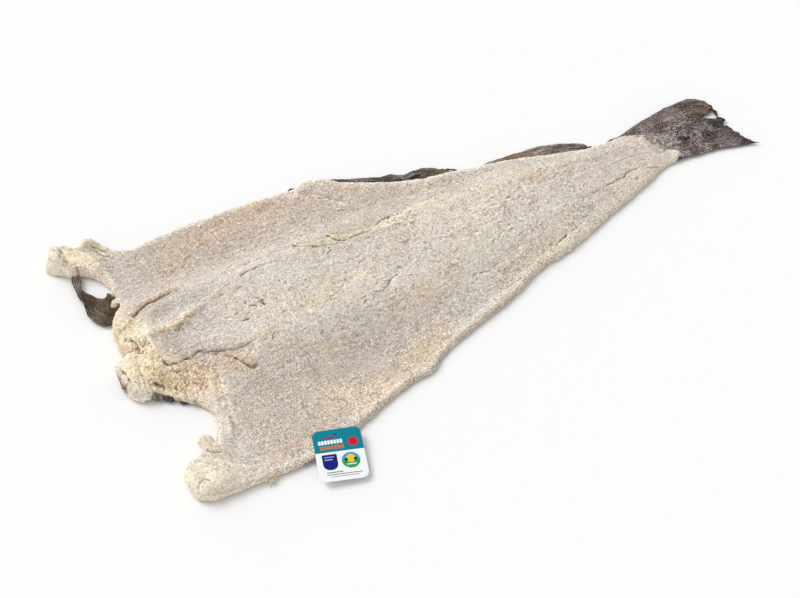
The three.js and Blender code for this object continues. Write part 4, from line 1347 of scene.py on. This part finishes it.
def make_skin():
    """The skin, a little inside the flesh's outline, dark on the back and pale on the belly."""
    ring = ring_of(FLESH_STROKES, 2.4)
    middle = ring.mean(0)
    ring = ring + (middle - ring) / np.linalg.norm(middle - ring, axis=1)[:, None] * 0.3
    vertices, tris, _, _ = slab(ring, lattice(ring, 12.0), skin_top, skin_bottom, lattice(ring, 2.2))
    x, y = vertices.T[:2]
    colour = coat((138, 128, 112), len(x))
    pale = smoothstep(np.abs(y - np.interp(x, *zip(*BACK_LINE))), 60, 150)
    mix(colour, linear((206, 196, 178)), pale * 0.75)
    spots = smoothstep(layered(on_ground(x, y), 13, 2, 85), 0.05, 0.6) * (1 - pale)
    mix(colour, linear((92, 80, 62)), spots * 0.6)
    lateral = ridge_over(away_from(vertices, LATERAL_LINE, 6, 4.0), 1.6)
    mix(colour, linear((205, 198, 182)), 0.7 * lateral)
    for fin_place in BACK_FINS:
        inside, rays = back_fin(x, y, *fin_place)
        fin_colour = linear((96, 84, 74)) * (0.75 + 0.6 * (0.5 + 0.5 * rays)[:, None])
        mix(colour, fin_colour, inside * 0.9)
    return piece("skin", vertices, tris, SKIN, colour, slot="skin")


# ------------------------------------------------------------------ the fins


def fan(start, end, first, last, rays, samples, rows, fringe, seed):
    """A fin in plan between two edge rays: columns across the rays, rows along them.

    start and end run along the root and the trailing edge, from the first edge ray to the last one.
    Returns the grid of points, its shares across and along, and each column's place between rays.
    """
    u = np.linspace(0, 1, rays * samples + 1)
    v = np.linspace(0, 1, rows + 1)

    def at(stations, t):
        line = spline(stations, 0.6)
        chord = (line[-1] - line[0]) / np.linalg.norm(line[-1] - line[0])
        moves = np.diff(line, axis=0)
        steps = np.abs(moves @ chord) + 0.15 * np.linalg.norm(moves, axis=1)
        run = np.concatenate([[0], np.cumsum(steps)]) / steps.sum()
        return np.column_stack([np.interp(t, run, line[:, k]) for k in (0, 1)])

    d0, d1, c0, c1 = at(start, u), at(end, u), at(first, v), at(last, v)
    uu, vv = u[:, None, None], v[None, :, None]
    ruled = (1 - vv) * d0[:, None] + vv * d1[:, None] + (1 - uu) * c0[None] + uu * c1[None]
    grid = ruled - ((1 - uu) * ((1 - vv) * d0[0] + vv * d1[0]) + uu * ((1 - vv) * d0[-1] + vv * d1[-1]))
    rng = np.random.RandomState(seed)
    phase = (u * rays) % 1
    tips = rng.uniform(-1, 1, rays + 1)[np.minimum((u * rays + 0.5).astype(int), rays)]
    rips = (rng.uniform(0, 1, rays + 1) > 0.72)[np.minimum((u * rays).astype(int), rays)]
    between = (1 - np.cos(2 * np.pi * phase)) / 2
    notch = fringe * (0.5 * tips - (0.7 + 1.5 * rips) * between)
    outward = grid[:, -1] - grid[:, -3]
    outward /= np.maximum(np.linalg.norm(outward, axis=1), 1e-6)[:, None]
    grid += outward[:, None, :] * (notch[:, None] * v[None, :] ** 7)[:, :, None]
    return grid, u, v, phase


def sheet_faces(across, rows):
    """The four-sided faces of a closed sheet of two grids, the upper one first."""
    n = across * rows
    index = np.arange(n).reshape(across, rows)
    corners = [index[:-1, :-1], index[1:, :-1], index[1:, 1:], index[:-1, 1:]]
    face = np.stack(corners, -1).reshape(-1, 4)
    rim = np.concatenate([index[:, 0], index[-1, 1:], index[-2::-1, -1], index[0, -2:0:-1]])
    after = np.roll(rim, -1)
    return np.vstack([face, n + face[:, ::-1], np.column_stack([after, rim, n + rim, n + after])])


def fin(
    name, tint, height, start, end, first, last, rays, thick, thin, rows, fringe, seed, relief, dark,
    edge_wobble, samples=6, wave=0.6, crust=0.6, under=0.0, tip=None, tip_at=None,
):  # fmt: skip
    """One dried fin: a closed, ribbed sheet with a frayed trailing edge.

    tint holds the colours of its tissue, its hollows and its salt. start, end, first, last, rays,
    samples, rows, fringe and seed are the fan's. height gives its middle over the ground; thick and
    thin are its thickness at the root and the trailing edge, relief and wave the height of its rays
    and its sway, and edge_wobble how uneven its edge rays are. dark says how much the hollows and
    the streaks darken it, under how much darker it is away from its first ray, and crust how much
    salt shows. tip is the colour of a spot, tip_at its middle and reach.
    """
    grid, u, v, phase = fan(start, end, first, last, rays, samples, rows, fringe, seed)
    across, rows = grid.shape[:2]
    n = across * rows
    flat = on_ground(*grid.reshape(-1, 2).T)
    uu, vv, pp = np.repeat(u, rows), np.tile(v, across), np.repeat(phase, rows)
    side = np.minimum(uu, 1 - uu) * rays
    outer = np.exp(-side / 1.5)
    flat[:, 0] += edge_wobble * outer * layered(flat, 9, 2, seed + 41)
    flat[:, 1] += edge_wobble * outer * layered(flat, 9, 2, seed + 44)
    bent = 0.35 * noise(on_ground(uu * rays * 0.5, vv * 4), 1.0, seed + 3)
    ridge = 0.5 + 0.5 * np.cos(2 * np.pi * (pp + bent))
    forked = 0.5 + 0.5 * np.cos(4 * np.pi * (pp + bent))
    share = smoothstep(vv, 0.35, 0.75)
    ridge = ridge * (1 - share) + forked * share
    body = (thin + (thick - thin) * (1 - vv) ** 0.7) * (0.35 + 0.65 * np.minimum(side, 1))
    sway = wave * layered(flat, 30, 2, seed + 9) + 0.4 * wave * noise(flat, 8, seed + 12)
    sway += 0.5 * wave * noise(on_ground(uu * rays, vv * 2), 4.0, seed + 15)
    mid = height(flat[:, 0], flat[:, 1]) + sway * smoothstep(vv, 0.1, 0.5)
    grain = noise(flat, 2.2, seed + 13)
    crisp = relief * (0.6 + 0.4 * vv) * (ridge - 0.5) + 0.2 * grain
    top = np.column_stack([flat[:, :2], mid + body / 2 + crisp])
    low = np.column_stack([flat[:, :2], np.maximum(mid - body / 2 - 0.8 * crisp, 0.05)])
    top[:, 2] = np.maximum(top[:, 2], low[:, 2] + 0.2)
    faces = sheet_faces(across, rows)
    step_across, step_along = grid[1, 0] - grid[0, 0], grid[0, 1] - grid[0, 0]
    if step_across[0] * step_along[1] < step_across[1] * step_along[0]:
        faces = faces[:, ::-1]
    base, deep, salt = (linear(rgb) for rgb in tint)
    length = np.linalg.norm(grid[len(u) // 2, -1] - grid[len(u) // 2, 0])
    strip = on_ground(uu * rays, vv * length)
    streak = 0.45 * noise(strip, (2.3, 46.0, 1.0), seed + 21) + noise(strip, (0.8, 22.0, 1.0), seed + 22)
    streak += 0.5 * noise(strip, (1.0, 5.0, 1.0), seed + 23)
    speck = noise(flat, 2.6, seed + 31) + 0.5 * noise(flat, 1.5, seed + 32)
    patch = layered(flat, 24, 3, seed + 33)
    shade = 0.45 + dark[0] * (0.45 - ridge) + dark[1] * streak + 0.26 * patch - 0.15 * grain
    shade += 0.3 * smoothstep(vv, 0.75, 1.0) + under * smoothstep(uu, 0.1, 0.5)
    shade = np.clip(shade, 0, 1)
    colour = np.tile(base, (n, 1))
    mix(colour, deep, shade)
    dust = smoothstep(0.4 * speck - 0.5 * patch + 0.75 * streak + 0.4 * (ridge - 0.5), 0.0, 1.1)
    mix(colour, salt, crust * dust * (1.2 - 0.9 * smoothstep(vv, 0.5, 1.0)))
    if tip:
        near_tip = spot(flat[:, 0], flat[:, 1], *tip_at)
        mix(colour, linear(tip) * (1 - 0.7 * shade)[:, None], 0.85 * near_tip)
    # The lower face gets the tint at 0.8: painted shade under the fin.
    return piece(name, np.vstack([top, low]), faces, FIN, np.vstack([colour, colour * 0.8]), slot="fin")


FIN = fin_material()


def level(height, slope=0.0):
    """A fin's height over the ground, the same everywhere or sloping along y."""
    return lambda x, y: height + slope * y


def tail_height(x, y):
    """The tail fin rises a little towards the far side and dips at the tear in its trailing edge."""
    return 4.5 + 0.03 * y - 2.4 * spot(x, y, 736, 8, 16, 14)


def make_fins():
    """All the fins; returns the tail fin, which carries salt."""
    tail = fin(
        "tail_fin",
        tint=((138, 119, 111), (32, 20, 15), (212, 198, 198)),
        height=tail_height,
        start=[(582, 24), (604, 8), (616, -8), (628, -31)],
        end=[(747, 34), (747.5, 28), (745, 22), (743, 16), (738, 12), (729, 11.5), (719, 7.5), (719, 4.5),
             (728, -0.5), (736, -2), (742, -3), (743, -6), (739, -10), (739, -16), (741, -23), (738, -28),
             (742, -35), (742, -42), (749, -58.5)],
        first=[(582, 24), (597, 31.5), (614, 32.5), (633, 36), (663, 41.5), (690, 45.5), (706, 46.5),
               (727, 46), (739, 41), (746, 34)],
        last=[(628, -31), (647, -35.5), (662, -36.8), (676, -39.6), (690, -41.6), (704, -44.4), (722, -50),
              (749, -58.5)],
        rays=44, thick=3.4, thin=1.0, samples=5, rows=110, seed=3, fringe=2.2, wave=1.2, relief=1.0,
        dark=(0.55, 1.15), crust=0.64, edge_wobble=0.9, under=0.36,
        tip=(122, 96, 74), tip_at=(728, 20, 14, 12),
    )  # fmt: skip
    fin(
        "belly_fin_front",
        tint=((134, 124, 111), (34, 24, 17), (205, 198, 190)),
        height=level(3.4),
        start=[(284, 142), (285, 139), (287, 134)],
        end=[(424, 77), (421, 70), (418, 62)],
        first=[(284, 143), (315, 127.5), (335, 117.5), (347, 115), (360, 107), (373, 106.5), (384, 106),
               (393, 102), (402, 94), (418, 76)],
        last=[(287, 134), (330, 104), (372, 84), (418, 62)],
        rays=11, thick=2.4, thin=1.6, rows=110, fringe=2.0, seed=13, relief=1.1, edge_wobble=1.1,
        dark=(0.5, 0.9), under=0.7, tip=(140, 122, 84), tip_at=(404, 84, 14, 10),
    )  # fmt: skip
    fin(
        "belly_fin_rear",
        tint=((168, 156, 146), (60, 46, 38), (214, 206, 200)),
        height=level(3.6),
        start=[(450, 76), (452, 72), (454, 66)],
        end=[(572, 43), (569, 34), (564, 22)],
        first=[(450, 74), (462, 74), (486, 72), (513, 69.5), (531, 65), (548, 59), (560, 51), (572, 42)],
        last=[(454, 66), (500, 42), (540, 30), (564, 22)],
        rays=10, thick=2.4, thin=1.6, rows=100, fringe=2.4, seed=23, relief=1.0, edge_wobble=1.0,
        dark=(0.5, 1.0), under=0.25, tip=(166, 130, 92), tip_at=(488, 66, 26, 9),
    )  # fmt: skip
    fin(
        "breast_fin",
        tint=((112, 86, 58), (14, 6, 4), (196, 184, 156)),
        height=level(3.6),
        start=[(-22.5, 123), (-24, 121), (-26, 117), (-27.5, 110)],
        end=[(3, 100), (8, 86), (6, 66), (-4, 58)],
        first=[(-22.5, 123), (-20.5, 117), (-17, 110), (-13.5, 103), (-9, 99), (-4.5, 101), (-2, 105),
               (3, 100)],
        last=[(-27.5, 110), (-30, 97), (-31, 86), (-29, 75), (-24, 66), (-15, 61), (-4, 58)],
        rays=13, thick=2.6, thin=2.0, samples=8, rows=80, fringe=1.0, seed=33, relief=1.5, dark=(0.9, 1.5),
        crust=0.5, edge_wobble=0.5, wave=1.0, under=0.5,
    )  # fmt: skip
    fin(
        "breast_fin_strip",
        tint=((146, 130, 114), (30, 20, 15), (226, 216, 206)),
        height=level(6.0, -0.01),
        start=[(-14, 152), (-19, 155), (-24, 158)],
        end=[(-26.5, 111), (-28.5, 107), (-30.5, 104)],
        first=[(-14, 152), (-19, 134), (-23, 122), (-26.5, 111)],
        last=[(-24, 158), (-27, 142), (-29.5, 126), (-30.5, 104)],
        rays=5, thick=2.0, thin=1.2, samples=8, rows=50, fringe=2.4, seed=43, relief=1.3, edge_wobble=0.8,
        dark=(1.0, 0.8), crust=0.8,
    )  # fmt: skip
    return tail


# ------------------------------------------------------------------ the label

# The card's width, length and corner radius, the directions across and down it, and that from the
# fish to the ground beside it, with a point of the flap's edge that it bends over.
LABEL_WIDTH, LABEL_LENGTH, LABEL_CORNER = 46.0, 57.0, 7.0
LABEL_TOP, FLAP_EDGE = np.array([112.0, -178.0]), (105, -189)
# The heights of the card's two faces over the plane on which it rests.
CARD_FACES = (0.45, 0.05)


def turned(degrees):
    """The direction at an angle from +X in degrees."""
    return turned_to(np.radians(degrees))


ACROSS, DOWN, OFF_EDGE = turned(-20), turned(-110), turned(13 - 90)
LABEL_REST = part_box("label")[1].z * 1000 - 0.6


def label_point(a, b, up):
    """Card coordinates, a to the right and b down from its top middle, to the fish frame."""
    xy = LABEL_TOP + np.multiply.outer(a, ACROSS) + np.multiply.outer(b, DOWN)
    beyond = (xy - FLAP_EDGE) @ OFF_EDGE
    droop = 0.09 * (beyond + np.hypot(beyond, 8.0)) / 2
    return np.column_stack([xy, np.maximum(LABEL_REST - droop, 0.5) + up])


def rounded(x0, y0, x1, y1, radius, turns=8):
    """A rectangle with round corners."""
    left, right, top, bottom = x0 + radius, x1 - radius, y0 + radius, y1 - radius
    ring = []
    for x, y, start in ((right, top, -90), (right, bottom, 0), (left, bottom, 90), (left, top, 180)):
        ring += [(x, y) + radius * turned(start + 90 * k / turns) for k in range(turns + 1)]
    return np.array(ring)


def disc(x, y, radius, count=40):
    """A round shape of count corners."""
    return np.array([(x, y) + radius * turned(360 * k / count) for k in range(count)])


def star(x, y, radii, tips):
    """A star with outer and inner radii."""
    return np.array([(x, y) + radii[k % 2] * turned(180 * k / tips + 8) for k in range(2 * tips)])


def label_fields():
    """The generic print: rings and their colours, the whole card first and later ones on top."""
    w, h = LABEL_WIDTH / 2, LABEL_LENGTH
    badge = disc(8.8, 36.5, 8.6)
    return [
        (rounded(-w, 0, w, h, LABEL_CORNER), (236, 240, 239)),
        (np.array([(-w - 1, -1), (w + 1, -1), (w + 1, 25.5), (-w - 1, 25.5)]), (0, 124, 144)),
        (disc(-1.0, 6.4, 1.0, 12), (40, 44, 44)),
        (rounded(-13.5, 8.6, -2.0, 10.6, 0.6), (140, 40, 70)),
        *[(rounded(a, 12.2, a + 2.3, 16.6, 0.5, 3), (240, 244, 244)) for a in np.arange(-18.5, 3, 2.9)],
        *[(rounded(a, 18.4, a + 2.5, 22.6, 0.7, 3), (206, 112, 44)) for a in np.arange(-17.5, 4, 3.3)],
        (star(14.0, 16.2, (6.2, 3.6), 9), (206, 18, 28)),
        (rounded(-17.5, 28.0, -3.5, 38.0, 1.2), (14, 30, 118)),
        (rounded(-17.5, 30.0, -3.5, 45.0, 6.4), (14, 30, 118)),
        (rounded(-15.5, 30.4, -6.0, 31.4, 0.3, 2), (150, 164, 206)),
        (rounded(-15.5, 33.0, -8.0, 34.4, 0.3, 2), (150, 164, 206)),
        (badge, (40, 152, 84)),
        (np.vstack([badge[20:], [[17.4, 36.5]]]), (60, 156, 206)),
        (disc(8.8, 34.6, 4.4), (232, 196, 40)),
        (disc(4.4, 35.6, 1.7, 16), (40, 44, 36)),
        (disc(13.2, 35.6, 1.7, 16), (40, 44, 36)),
        (rounded(4.2, 40.0, 13.4, 41.4, 0.4, 2), (216, 234, 220)),
        (rounded(-15.5, 47.2, 0.0, 48.2, 0.3, 2), (110, 114, 120)),
        (rounded(-15.5, 49.6, 17.5, 50.6, 0.3, 2), (128, 132, 138)),
        (rounded(-12.0, 52.0, 14.0, 52.8, 0.3, 2), (140, 146, 150)),
    ]


def label_face(fields):
    """The card's face, cut along its print: points in card coordinates, triangles and their colours."""
    points, edges = [], []
    for ring, _ in fields:
        start, count = len(points), len(ring)
        points += ring.tolist()
        edges += [(start + i, start + (i + 1) % count) for i in range(count)]
    for a in np.arange(-LABEL_WIDTH / 2 + 1.5, LABEL_WIDTH / 2, 2.0):
        points += [(float(a) + 0.013, float(b) + 0.017) for b in np.arange(1.5, LABEL_LENGTH, 2.0)]
    made = delaunay_2d_cdt([Vector(p) for p in points], edges, [], 0, 1e-5)
    ab, tris = np.array([tuple(v) for v in made[0]]), np.array(made[2])
    tris = tris[within(ab[tris].mean(1), fields[0][0])]
    turn = turn_of(ab, tris)
    tris, turn = tris[np.abs(turn) > 1e-7], turn[np.abs(turn) > 1e-7]
    # The card's b axis points down, so a clockwise triangle in (a, b) is counter-clockwise from above.
    tris[turn > 0] = tris[turn > 0][:, ::-1]
    middle = ab[tris].mean(1)
    colours = np.zeros((len(tris), 3))
    for ring, rgb in fields:
        colours[within(middle, ring)] = linear(rgb)
    used, tris = np.unique(tris, return_inverse=True)
    return ab[used], tris.reshape(-1, 3), colours


def card_material():
    """Printed card with a faint grain."""
    m = Nodes("label_card")
    grain = m.ramp(m.noise(900, 2), (0.3, 0.94), (0.7, 1.0))
    colour = m.mix("MULTIPLY", 1.0, m.layer("print")["Color"], grain)
    return m.finish(colour, 0.5, m.bump(0.12, 0.0003, m.noise(140, 2)), Specular_IOR_Level=0.12)


def make_label():
    """The card, with its print on its face and white paper elsewhere."""
    ab, tris, print_colours = label_face(label_fields())
    upper, lower = [label_point(ab[:, 0], ab[:, 1], up) for up in CARD_FACES]
    n = len(ab)
    loop = boundary(tris)
    after = np.roll(loop, -1)
    walls = [np.column_stack([n + loop, n + after, after]), np.column_stack([n + loop, after, loop])]
    faces = np.vstack([tris, n + tris[:, ::-1], *walls])
    white = coat((232, 234, 232), len(faces) - len(tris))
    places = {"replaces": "label", "slot": "card"}
    card = piece("label_card", np.vstack([upper, lower]), faces, card_material(), smooth=False, **places)
    ink = card.data.color_attributes.new(name="print", type="FLOAT_COLOR", domain="CORNER")
    rgb = np.repeat(np.vstack([print_colours, white]), 3, axis=0)
    ink.data.foreach_set("color", np.column_stack([rgb, np.ones(len(rgb))]).ravel())


# ------------------------------------------------------------------ salt and shreds

# Torn, dark ray ends of the tail and belly fins, and a scrap in the far nick: stations, half width.
THREADS = [
    ([(746, 25, 4.6), (746.5, 20, 4.2), (743.5, 16.5, 3.6), (746, 12.5, 3.0), (748, 9.5, 2.6)], 2.4),
    ([(743, 15, 3.4), (744.5, 10.5, 3.0), (741.5, 5, 3.0), (740, 0, 3.2)], 1.9),
    ([(736, 0.5, 3.2), (741, -1, 3.2), (744, -4, 3.2), (743, -8, 3.4)], 2.8),
    ([(737, -4, 3.8), (739, -8, 3.8), (738, -11, 3.8)], 2.0),
    ([(742, -57, 3.4), (747, -58, 3.2), (751, -60.5, 2.8)], 1.1),
    ([(647, -33, 4.6), (651, -34.5, 4.4), (655, -34.5, 4.2), (659, -36, 3.8)], 2.2),
    ([(234, 150, 4.4), (238, 150.6, 5.0), (242, 149.6, 4.6)], 1.7),
    ([(560, 38, 4.6), (570, 36, 4.8), (578, 33, 4.8), (584, 30, 4.6)], 1.6),
    ([(402, 92, 4.4), (410, 87, 4.6), (416, 82, 4.6), (419, 78, 4.4)], 1.9),
]


def strip_row(place, aside, thick):
    """The four corners of a strip's cross-section."""
    side, up = np.array([*aside, 0]), np.array([0, 0, thick])
    return [place - side, place + up, place + side, place - up]


def strip_faces(rows):
    """The triangles of a closed strip of four-cornered rows."""
    tris = []
    for k in range(rows - 1):
        for j in range(4):
            a, b = 4 * k + j, 4 * k + (j + 1) % 4
            tris += [(a, a + 4, b), (b, a + 4, b + 4)]
    last = 4 * (rows - 1)
    tris += [(0, 1, 2), (0, 2, 3), (last, last + 2, last + 1), (last, last + 3, last + 2)]
    return np.array(tris)


def strip_mesh(points, widths, thick):
    """A closed, four-sided strip along points."""
    points = np.array(points, float)
    rows = [strip_row(p, a * w, t) for p, a, w, t in zip(points, left_of(points), widths, thick)]
    return np.vstack(rows), strip_faces(len(rows))


def make_threads():
    """The loose threads at the fins' torn edges."""
    parts = []
    for stations, half in THREADS:
        line = spline(stations, 1.2)
        share = np.linspace(0, 1, len(line))
        width = half * (0.3 + 0.7 * np.sin(np.pi * (0.1 + 0.8 * share)))
        width *= 0.8 + 0.5 * noise(line, 3.5, 127)
        points, tris = strip_mesh(line, width, 0.5 * width)
        points += 0.35 * half * noises(points, 2.5, 121, 122, 123)
        shade = 0.8 + 0.6 * smoothstep(noise(points, 3.0, 125), 0.0, 0.6)
        parts.append((points, tris, linear((48, 36, 32)) * shade[:, None]))
    return joined("fin_threads", parts, FIN, slot="fin")


def surface_of(made):
    """A piece's points and normals in the fish frame."""
    mesh = made.data
    co, normal = np.zeros((2, len(mesh.vertices) * 3))
    mesh.vertices.foreach_get("co", co)
    mesh.vertices.foreach_get("normal", normal)
    return co.reshape(-1, 3) * 1000 - SHIFT, normal.reshape(-1, 3)


def ball(levels):
    """The points and triangles of a unit ball, an icosahedron divided a few times."""
    g = (1 + 5**0.5) / 2
    points = [(s * 1.0, t * g, 0.0) for s in (-1, 1) for t in (-1, 1)]
    points = points + [(0.0, p[0], p[1]) for p in points] + [(p[1], 0.0, p[0]) for p in points]
    points = np.array(points)
    near = np.linalg.norm(points[:, None] - points[None], axis=2) < 2.1
    tris = [t for t in combinations(range(12), 3) if near[np.ix_(t, t)].all()]
    tris = [t if np.linalg.det(points[list(t)]) > 0 else t[::-1] for t in tris]
    for _ in range(levels):
        points, cut, finer = list(points), {}, []
        for a, b, c in tris:
            mids = []
            for pair in ((a, b), (b, c), (c, a)):
                key = tuple(sorted(pair))
                if key not in cut:
                    cut[key] = len(points)
                    points.append((points[pair[0]] + points[pair[1]]) / 2)
                mids.append(cut[key])
            ab, bc, ca = mids
            finer += [(a, ab, ca), (ab, b, bc), (ca, bc, c), (ab, bc, ca)]
        points, tris = np.array(points), finer
    return points / np.linalg.norm(points, axis=1)[:, None], np.array(tris)


# How many crumbs and fibres lie on the flesh, and how many fibres hang at the near edge by the ear.
CRUMBS, FIBRES, FRINGE = 130, 130, 9


def picked(among, count, weight):
    """A random choice without repeats, likelier where the weight is high."""
    return RANDOM.choice(among, count, replace=False, p=weight / weight.sum())


def fibre(at, heading, length, width, bend, lift, surface, tree):
    """The rows of a loose fibre that follows the flesh, up to where the flesh ends."""
    rows, steps = [], 5
    for k in range(steps + 1):
        share = k / steps
        found, index, _ = tree.find((*at, 0))
        if abs(found[0] - at[0]) + abs(found[1] - at[1]) > 2.5:
            break
        ahead = turned_to(heading)
        narrowing = 0.35 + 0.65 * np.sin(np.pi * (0.15 + 0.8 * share))
        aside = np.array([-ahead[1], ahead[0]]) * width * narrowing
        place = np.array([*at, surface[index, 2] + 0.15 + lift * share**2])
        rows.append(strip_row(place, aside, 0.28 * (1 - 0.5 * share)))
        at = at + ahead * length / steps
        heading += bend
    return rows


def make_shreds(flesh):
    """Crumbs and loose fibres on the torn flesh, and a fringe of fibres at the near edge by the ear."""
    co, normal = surface_of(flesh)
    tree = tree_of(np.where(normal[:, 2:] > 0.2, on_ground(*co.T[:2]), (0, 0, 1e4)))
    parts = []

    def keep(points, tris, name, shade):
        parts.append((points, tris, coat(PALETTE[name], len(points)) * shade))

    faces_up = normal[:, 2] > 0.35
    lip, fold = [near_line(co, CREST_LINES[k][0], 5)[0] < 4 for k in (0, 2)]
    crumb_weight = (crumbly(co) ** 2 + 0.6 * lip + 0.5 * fold) * faces_up
    ball_points, ball_tris = ball(0)
    for i in picked(len(co), CRUMBS, crumb_weight):
        size = float(np.clip(RANDOM.lognormal(np.log(0.6), 0.4), 0.3, 1.4))
        lump = ball_points * RANDOM.uniform(0.6, 1.15, (12, 1)) * size * RANDOM.uniform(0.6, 1.2, 3)
        name = ("butter", "pale", "peach", "tan", "cream", "yellow")[RANDOM.randint(6)]
        keep(co[i] + 0.25 * size * normal[i] + lump, ball_tris, name, RANDOM.uniform(0.8, 1.05))
    torn_fibres = fibrous(co)
    for i in picked(len(co), FIBRES, (torn_fibres**2 + 0.25 * crumbly(co)) * faces_up):
        heading = np.radians(RANDOM.normal(-55, 16) if torn_fibres[i] > 0.3 else RANDOM.uniform(0, 360))
        length, width = RANDOM.uniform(3, 10), RANDOM.uniform(0.35, 1.1)
        bend, lift = RANDOM.normal(0, 0.12), RANDOM.uniform(0.1, 0.5)
        rows = fibre(co[i, :2], heading, length, width, bend, lift, co, tree)
        if len(rows) >= 3:
            name = ("butter", "peach", "pale", "pink", "cream")[RANDOM.randint(5)]
            keep(np.vstack(rows), strip_faces(len(rows)), name, RANDOM.uniform(0.85, 1.05))
    for k in range(FRINGE):
        start, turn = np.array([29.5 + 1.0 * k, -191.0, 4.6]), np.radians(-68 + RANDOM.normal(0, 7))
        run = RANDOM.uniform(6, 12)
        ahead = np.array([*turned_to(turn), 0])
        line = [start + ahead * run * t + (0, 0, -2.2 * t * t) for t in np.linspace(0, 1, 6)]
        points, tris = strip_mesh(line, np.linspace(0.7, 0.25, 6), np.linspace(0.3, 0.15, 6))
        keep(points, tris, "cream", RANDOM.uniform(0.8, 0.95))
    return joined("shreds", parts, flesh.data.materials[0], smooth=False)


# Dark scraps of gill and skin that stick out under the neck: middle, reach along x, y and z, colour.
SCRAPS = [
    ((-12.5, -50, 4.4), (6.0, 6.0, 4.4), (120, 112, 96)), ((-3, -58, 4.0), (6.5, 5.2, 4.0), (74, 54, 52)),
    ((9, -69.5, 2.2), (6.5, 3.4, 2.2), (88, 62, 46)),
]  # fmt: skip


def make_scraps():
    """The dark scraps: lumpy balls, flat where they would go through the ground."""
    unit, tris = ball(3)
    parts = []
    for middle, reach, rgb in SCRAPS:
        points = unit * reach + middle
        points += unit * (1.3 * noise(points, 4.5, 110) + 0.6 * noise(points, 2.0, 111))[:, None]
        points[:, 2] = np.maximum(points[:, 2], 0.3)
        shade = 0.8 + 0.9 * smoothstep(noise(points, 3.0, 112), -0.1, 0.6)
        parts.append((points, tris, coat(rgb, len(unit)) * shade[:, None]))
    return joined("gill_scraps", parts, SKIN, slot="skin")


def make_salt(flesh, tail, on_flesh=3600, on_tail=2200):
    """Loose salt crystals that lie on the upper faces of the flesh and the tail fin."""
    count = on_flesh + on_tail
    co, normal = surface_of(flesh)
    up = np.flatnonzero(normal[:, 2] > 0.75)
    dense = 0.35 + 0.65 * smoothstep(layered(co[up], 45, 2, 91), -0.3, 0.6)
    at = picked(up, on_flesh, dense)
    tail_co, tail_normal = surface_of(tail)
    up = np.flatnonzero((tail_normal[:, 2] > 0.4) & (tail_co[:, 0] > 600))
    dense = 0.1 + spot(*tail_co[up].T[:2], 680, -2, 40, 34)
    dense *= smoothstep(layered(tail_co[up], 16, 2, 95), -0.6, 0.9)
    at_tail = len(co) + picked(up, on_tail, dense)
    co, normal = np.vstack([co, tail_co]), np.vstack([normal, tail_normal])
    at = np.concatenate([at, at_tail])
    size = RANDOM.lognormal(np.log(0.3), 0.35, count).clip(0.16, 0.7)
    size[on_flesh:] *= 0.74
    box = np.array([(x, y, z) for x in (-1, 1) for y in (-1, 1) for z in (-1, 1)], float)
    quads = np.array([(0, 1, 3, 2), (4, 6, 7, 5), (0, 4, 5, 1), (2, 3, 7, 6), (0, 2, 6, 4), (1, 5, 7, 3)])
    axis = RANDOM.normal(size=(count, 3))
    axis /= np.linalg.norm(axis, axis=1)[:, None]
    angle = RANDOM.uniform(0, np.pi, count)
    shape = box[None] * size[:, None, None] * RANDOM.uniform(0.6, 1.0, (count, 1, 3))
    shape += RANDOM.uniform(-0.12, 0.12, (count, 8, 3)) * size[:, None, None]
    c, s = np.cos(angle)[:, None, None], np.sin(angle)[:, None, None]
    k = axis[:, None, :]
    spun = shape * c + np.cross(np.broadcast_to(k, shape.shape), shape) * s
    spun = spun + k * (shape * k).sum(-1, keepdims=True) * (1 - c)
    points = co[at][:, None] + normal[at][:, None] * (0.35 * size[:, None, None]) + spun
    faces = (quads[None] + 8 * np.arange(count)[:, None, None]).reshape(-1, 4)
    return piece("salt_grains", points.reshape(-1, 3), faces, salt_material(), smooth=False)


# ------------------------------------------------------------------ stage, light and camera

# Suns: name, direction from the part towards it, strength, and how wide it is in degrees.
LAMPS = [
    ("key", (-0.5, 0.75, 0.95), 1.77, 34),
    ("back", (-0.15, 0.9, 0.42), 0.6, 50),
    ("fill", (-0.75, -0.75, 0.5), 0.45, 90),
]


def make_stage():
    """A pale floor under a white sky, and three wide suns."""
    m = Nodes("pale_floor")
    m.finish((0.85, 0.85, 0.85, 1), 0.9, None, Specular_IOR_Level=0.1)
    size = 6.0
    corners = [(-size, -size, 0), (size, -size, 0), (size, size, 0), (-size, size, 0)]
    mesh = bpy.data.meshes.new("floor")
    mesh.from_pydata(corners, [], [(0, 1, 2, 3)])
    mesh.materials.append(m.material)
    floor = linked("floor", mesh)
    floor.location.z = -0.0002
    world = bpy.data.worlds.new("studio")
    world.use_nodes = True
    background = world.node_tree.nodes["Background"]
    background.inputs["Color"].default_value = (1.0, 1.0, 1.0, 1)
    background.inputs["Strength"].default_value = 0.60
    bpy.context.scene.world = world
    for name, towards, energy, spread in LAMPS:
        sun = bpy.data.lights.new(name, "SUN")
        sun.energy = energy
        sun.angle = np.radians(spread)
        linked(name, sun).rotation_euler = Vector(towards).to_track_quat("Z", "Y").to_euler()


def make_camera():
    """The photograph's camera."""
    place, target = Vector((-0.5734, -0.8174, 0.9514)), Vector((-0.0963, -0.0322, 0.0))
    camera = bpy.data.cameras.new("camera")
    camera.sensor_width = 36
    camera.lens = 57.09
    made = linked("camera", camera)
    made.location = place
    made.rotation_euler = (target - place).to_track_quat("-Z", "Y").to_euler()
    bpy.context.scene.camera = made


bpy.context.scene.view_settings.view_transform = "Standard"
make_camera()
make_stage()
flesh_piece = make_flesh()
make_skin()
tail_piece = make_fins()
make_threads()
make_label()
make_salt(flesh_piece, tail_piece)
make_shreds(flesh_piece)
make_scraps()
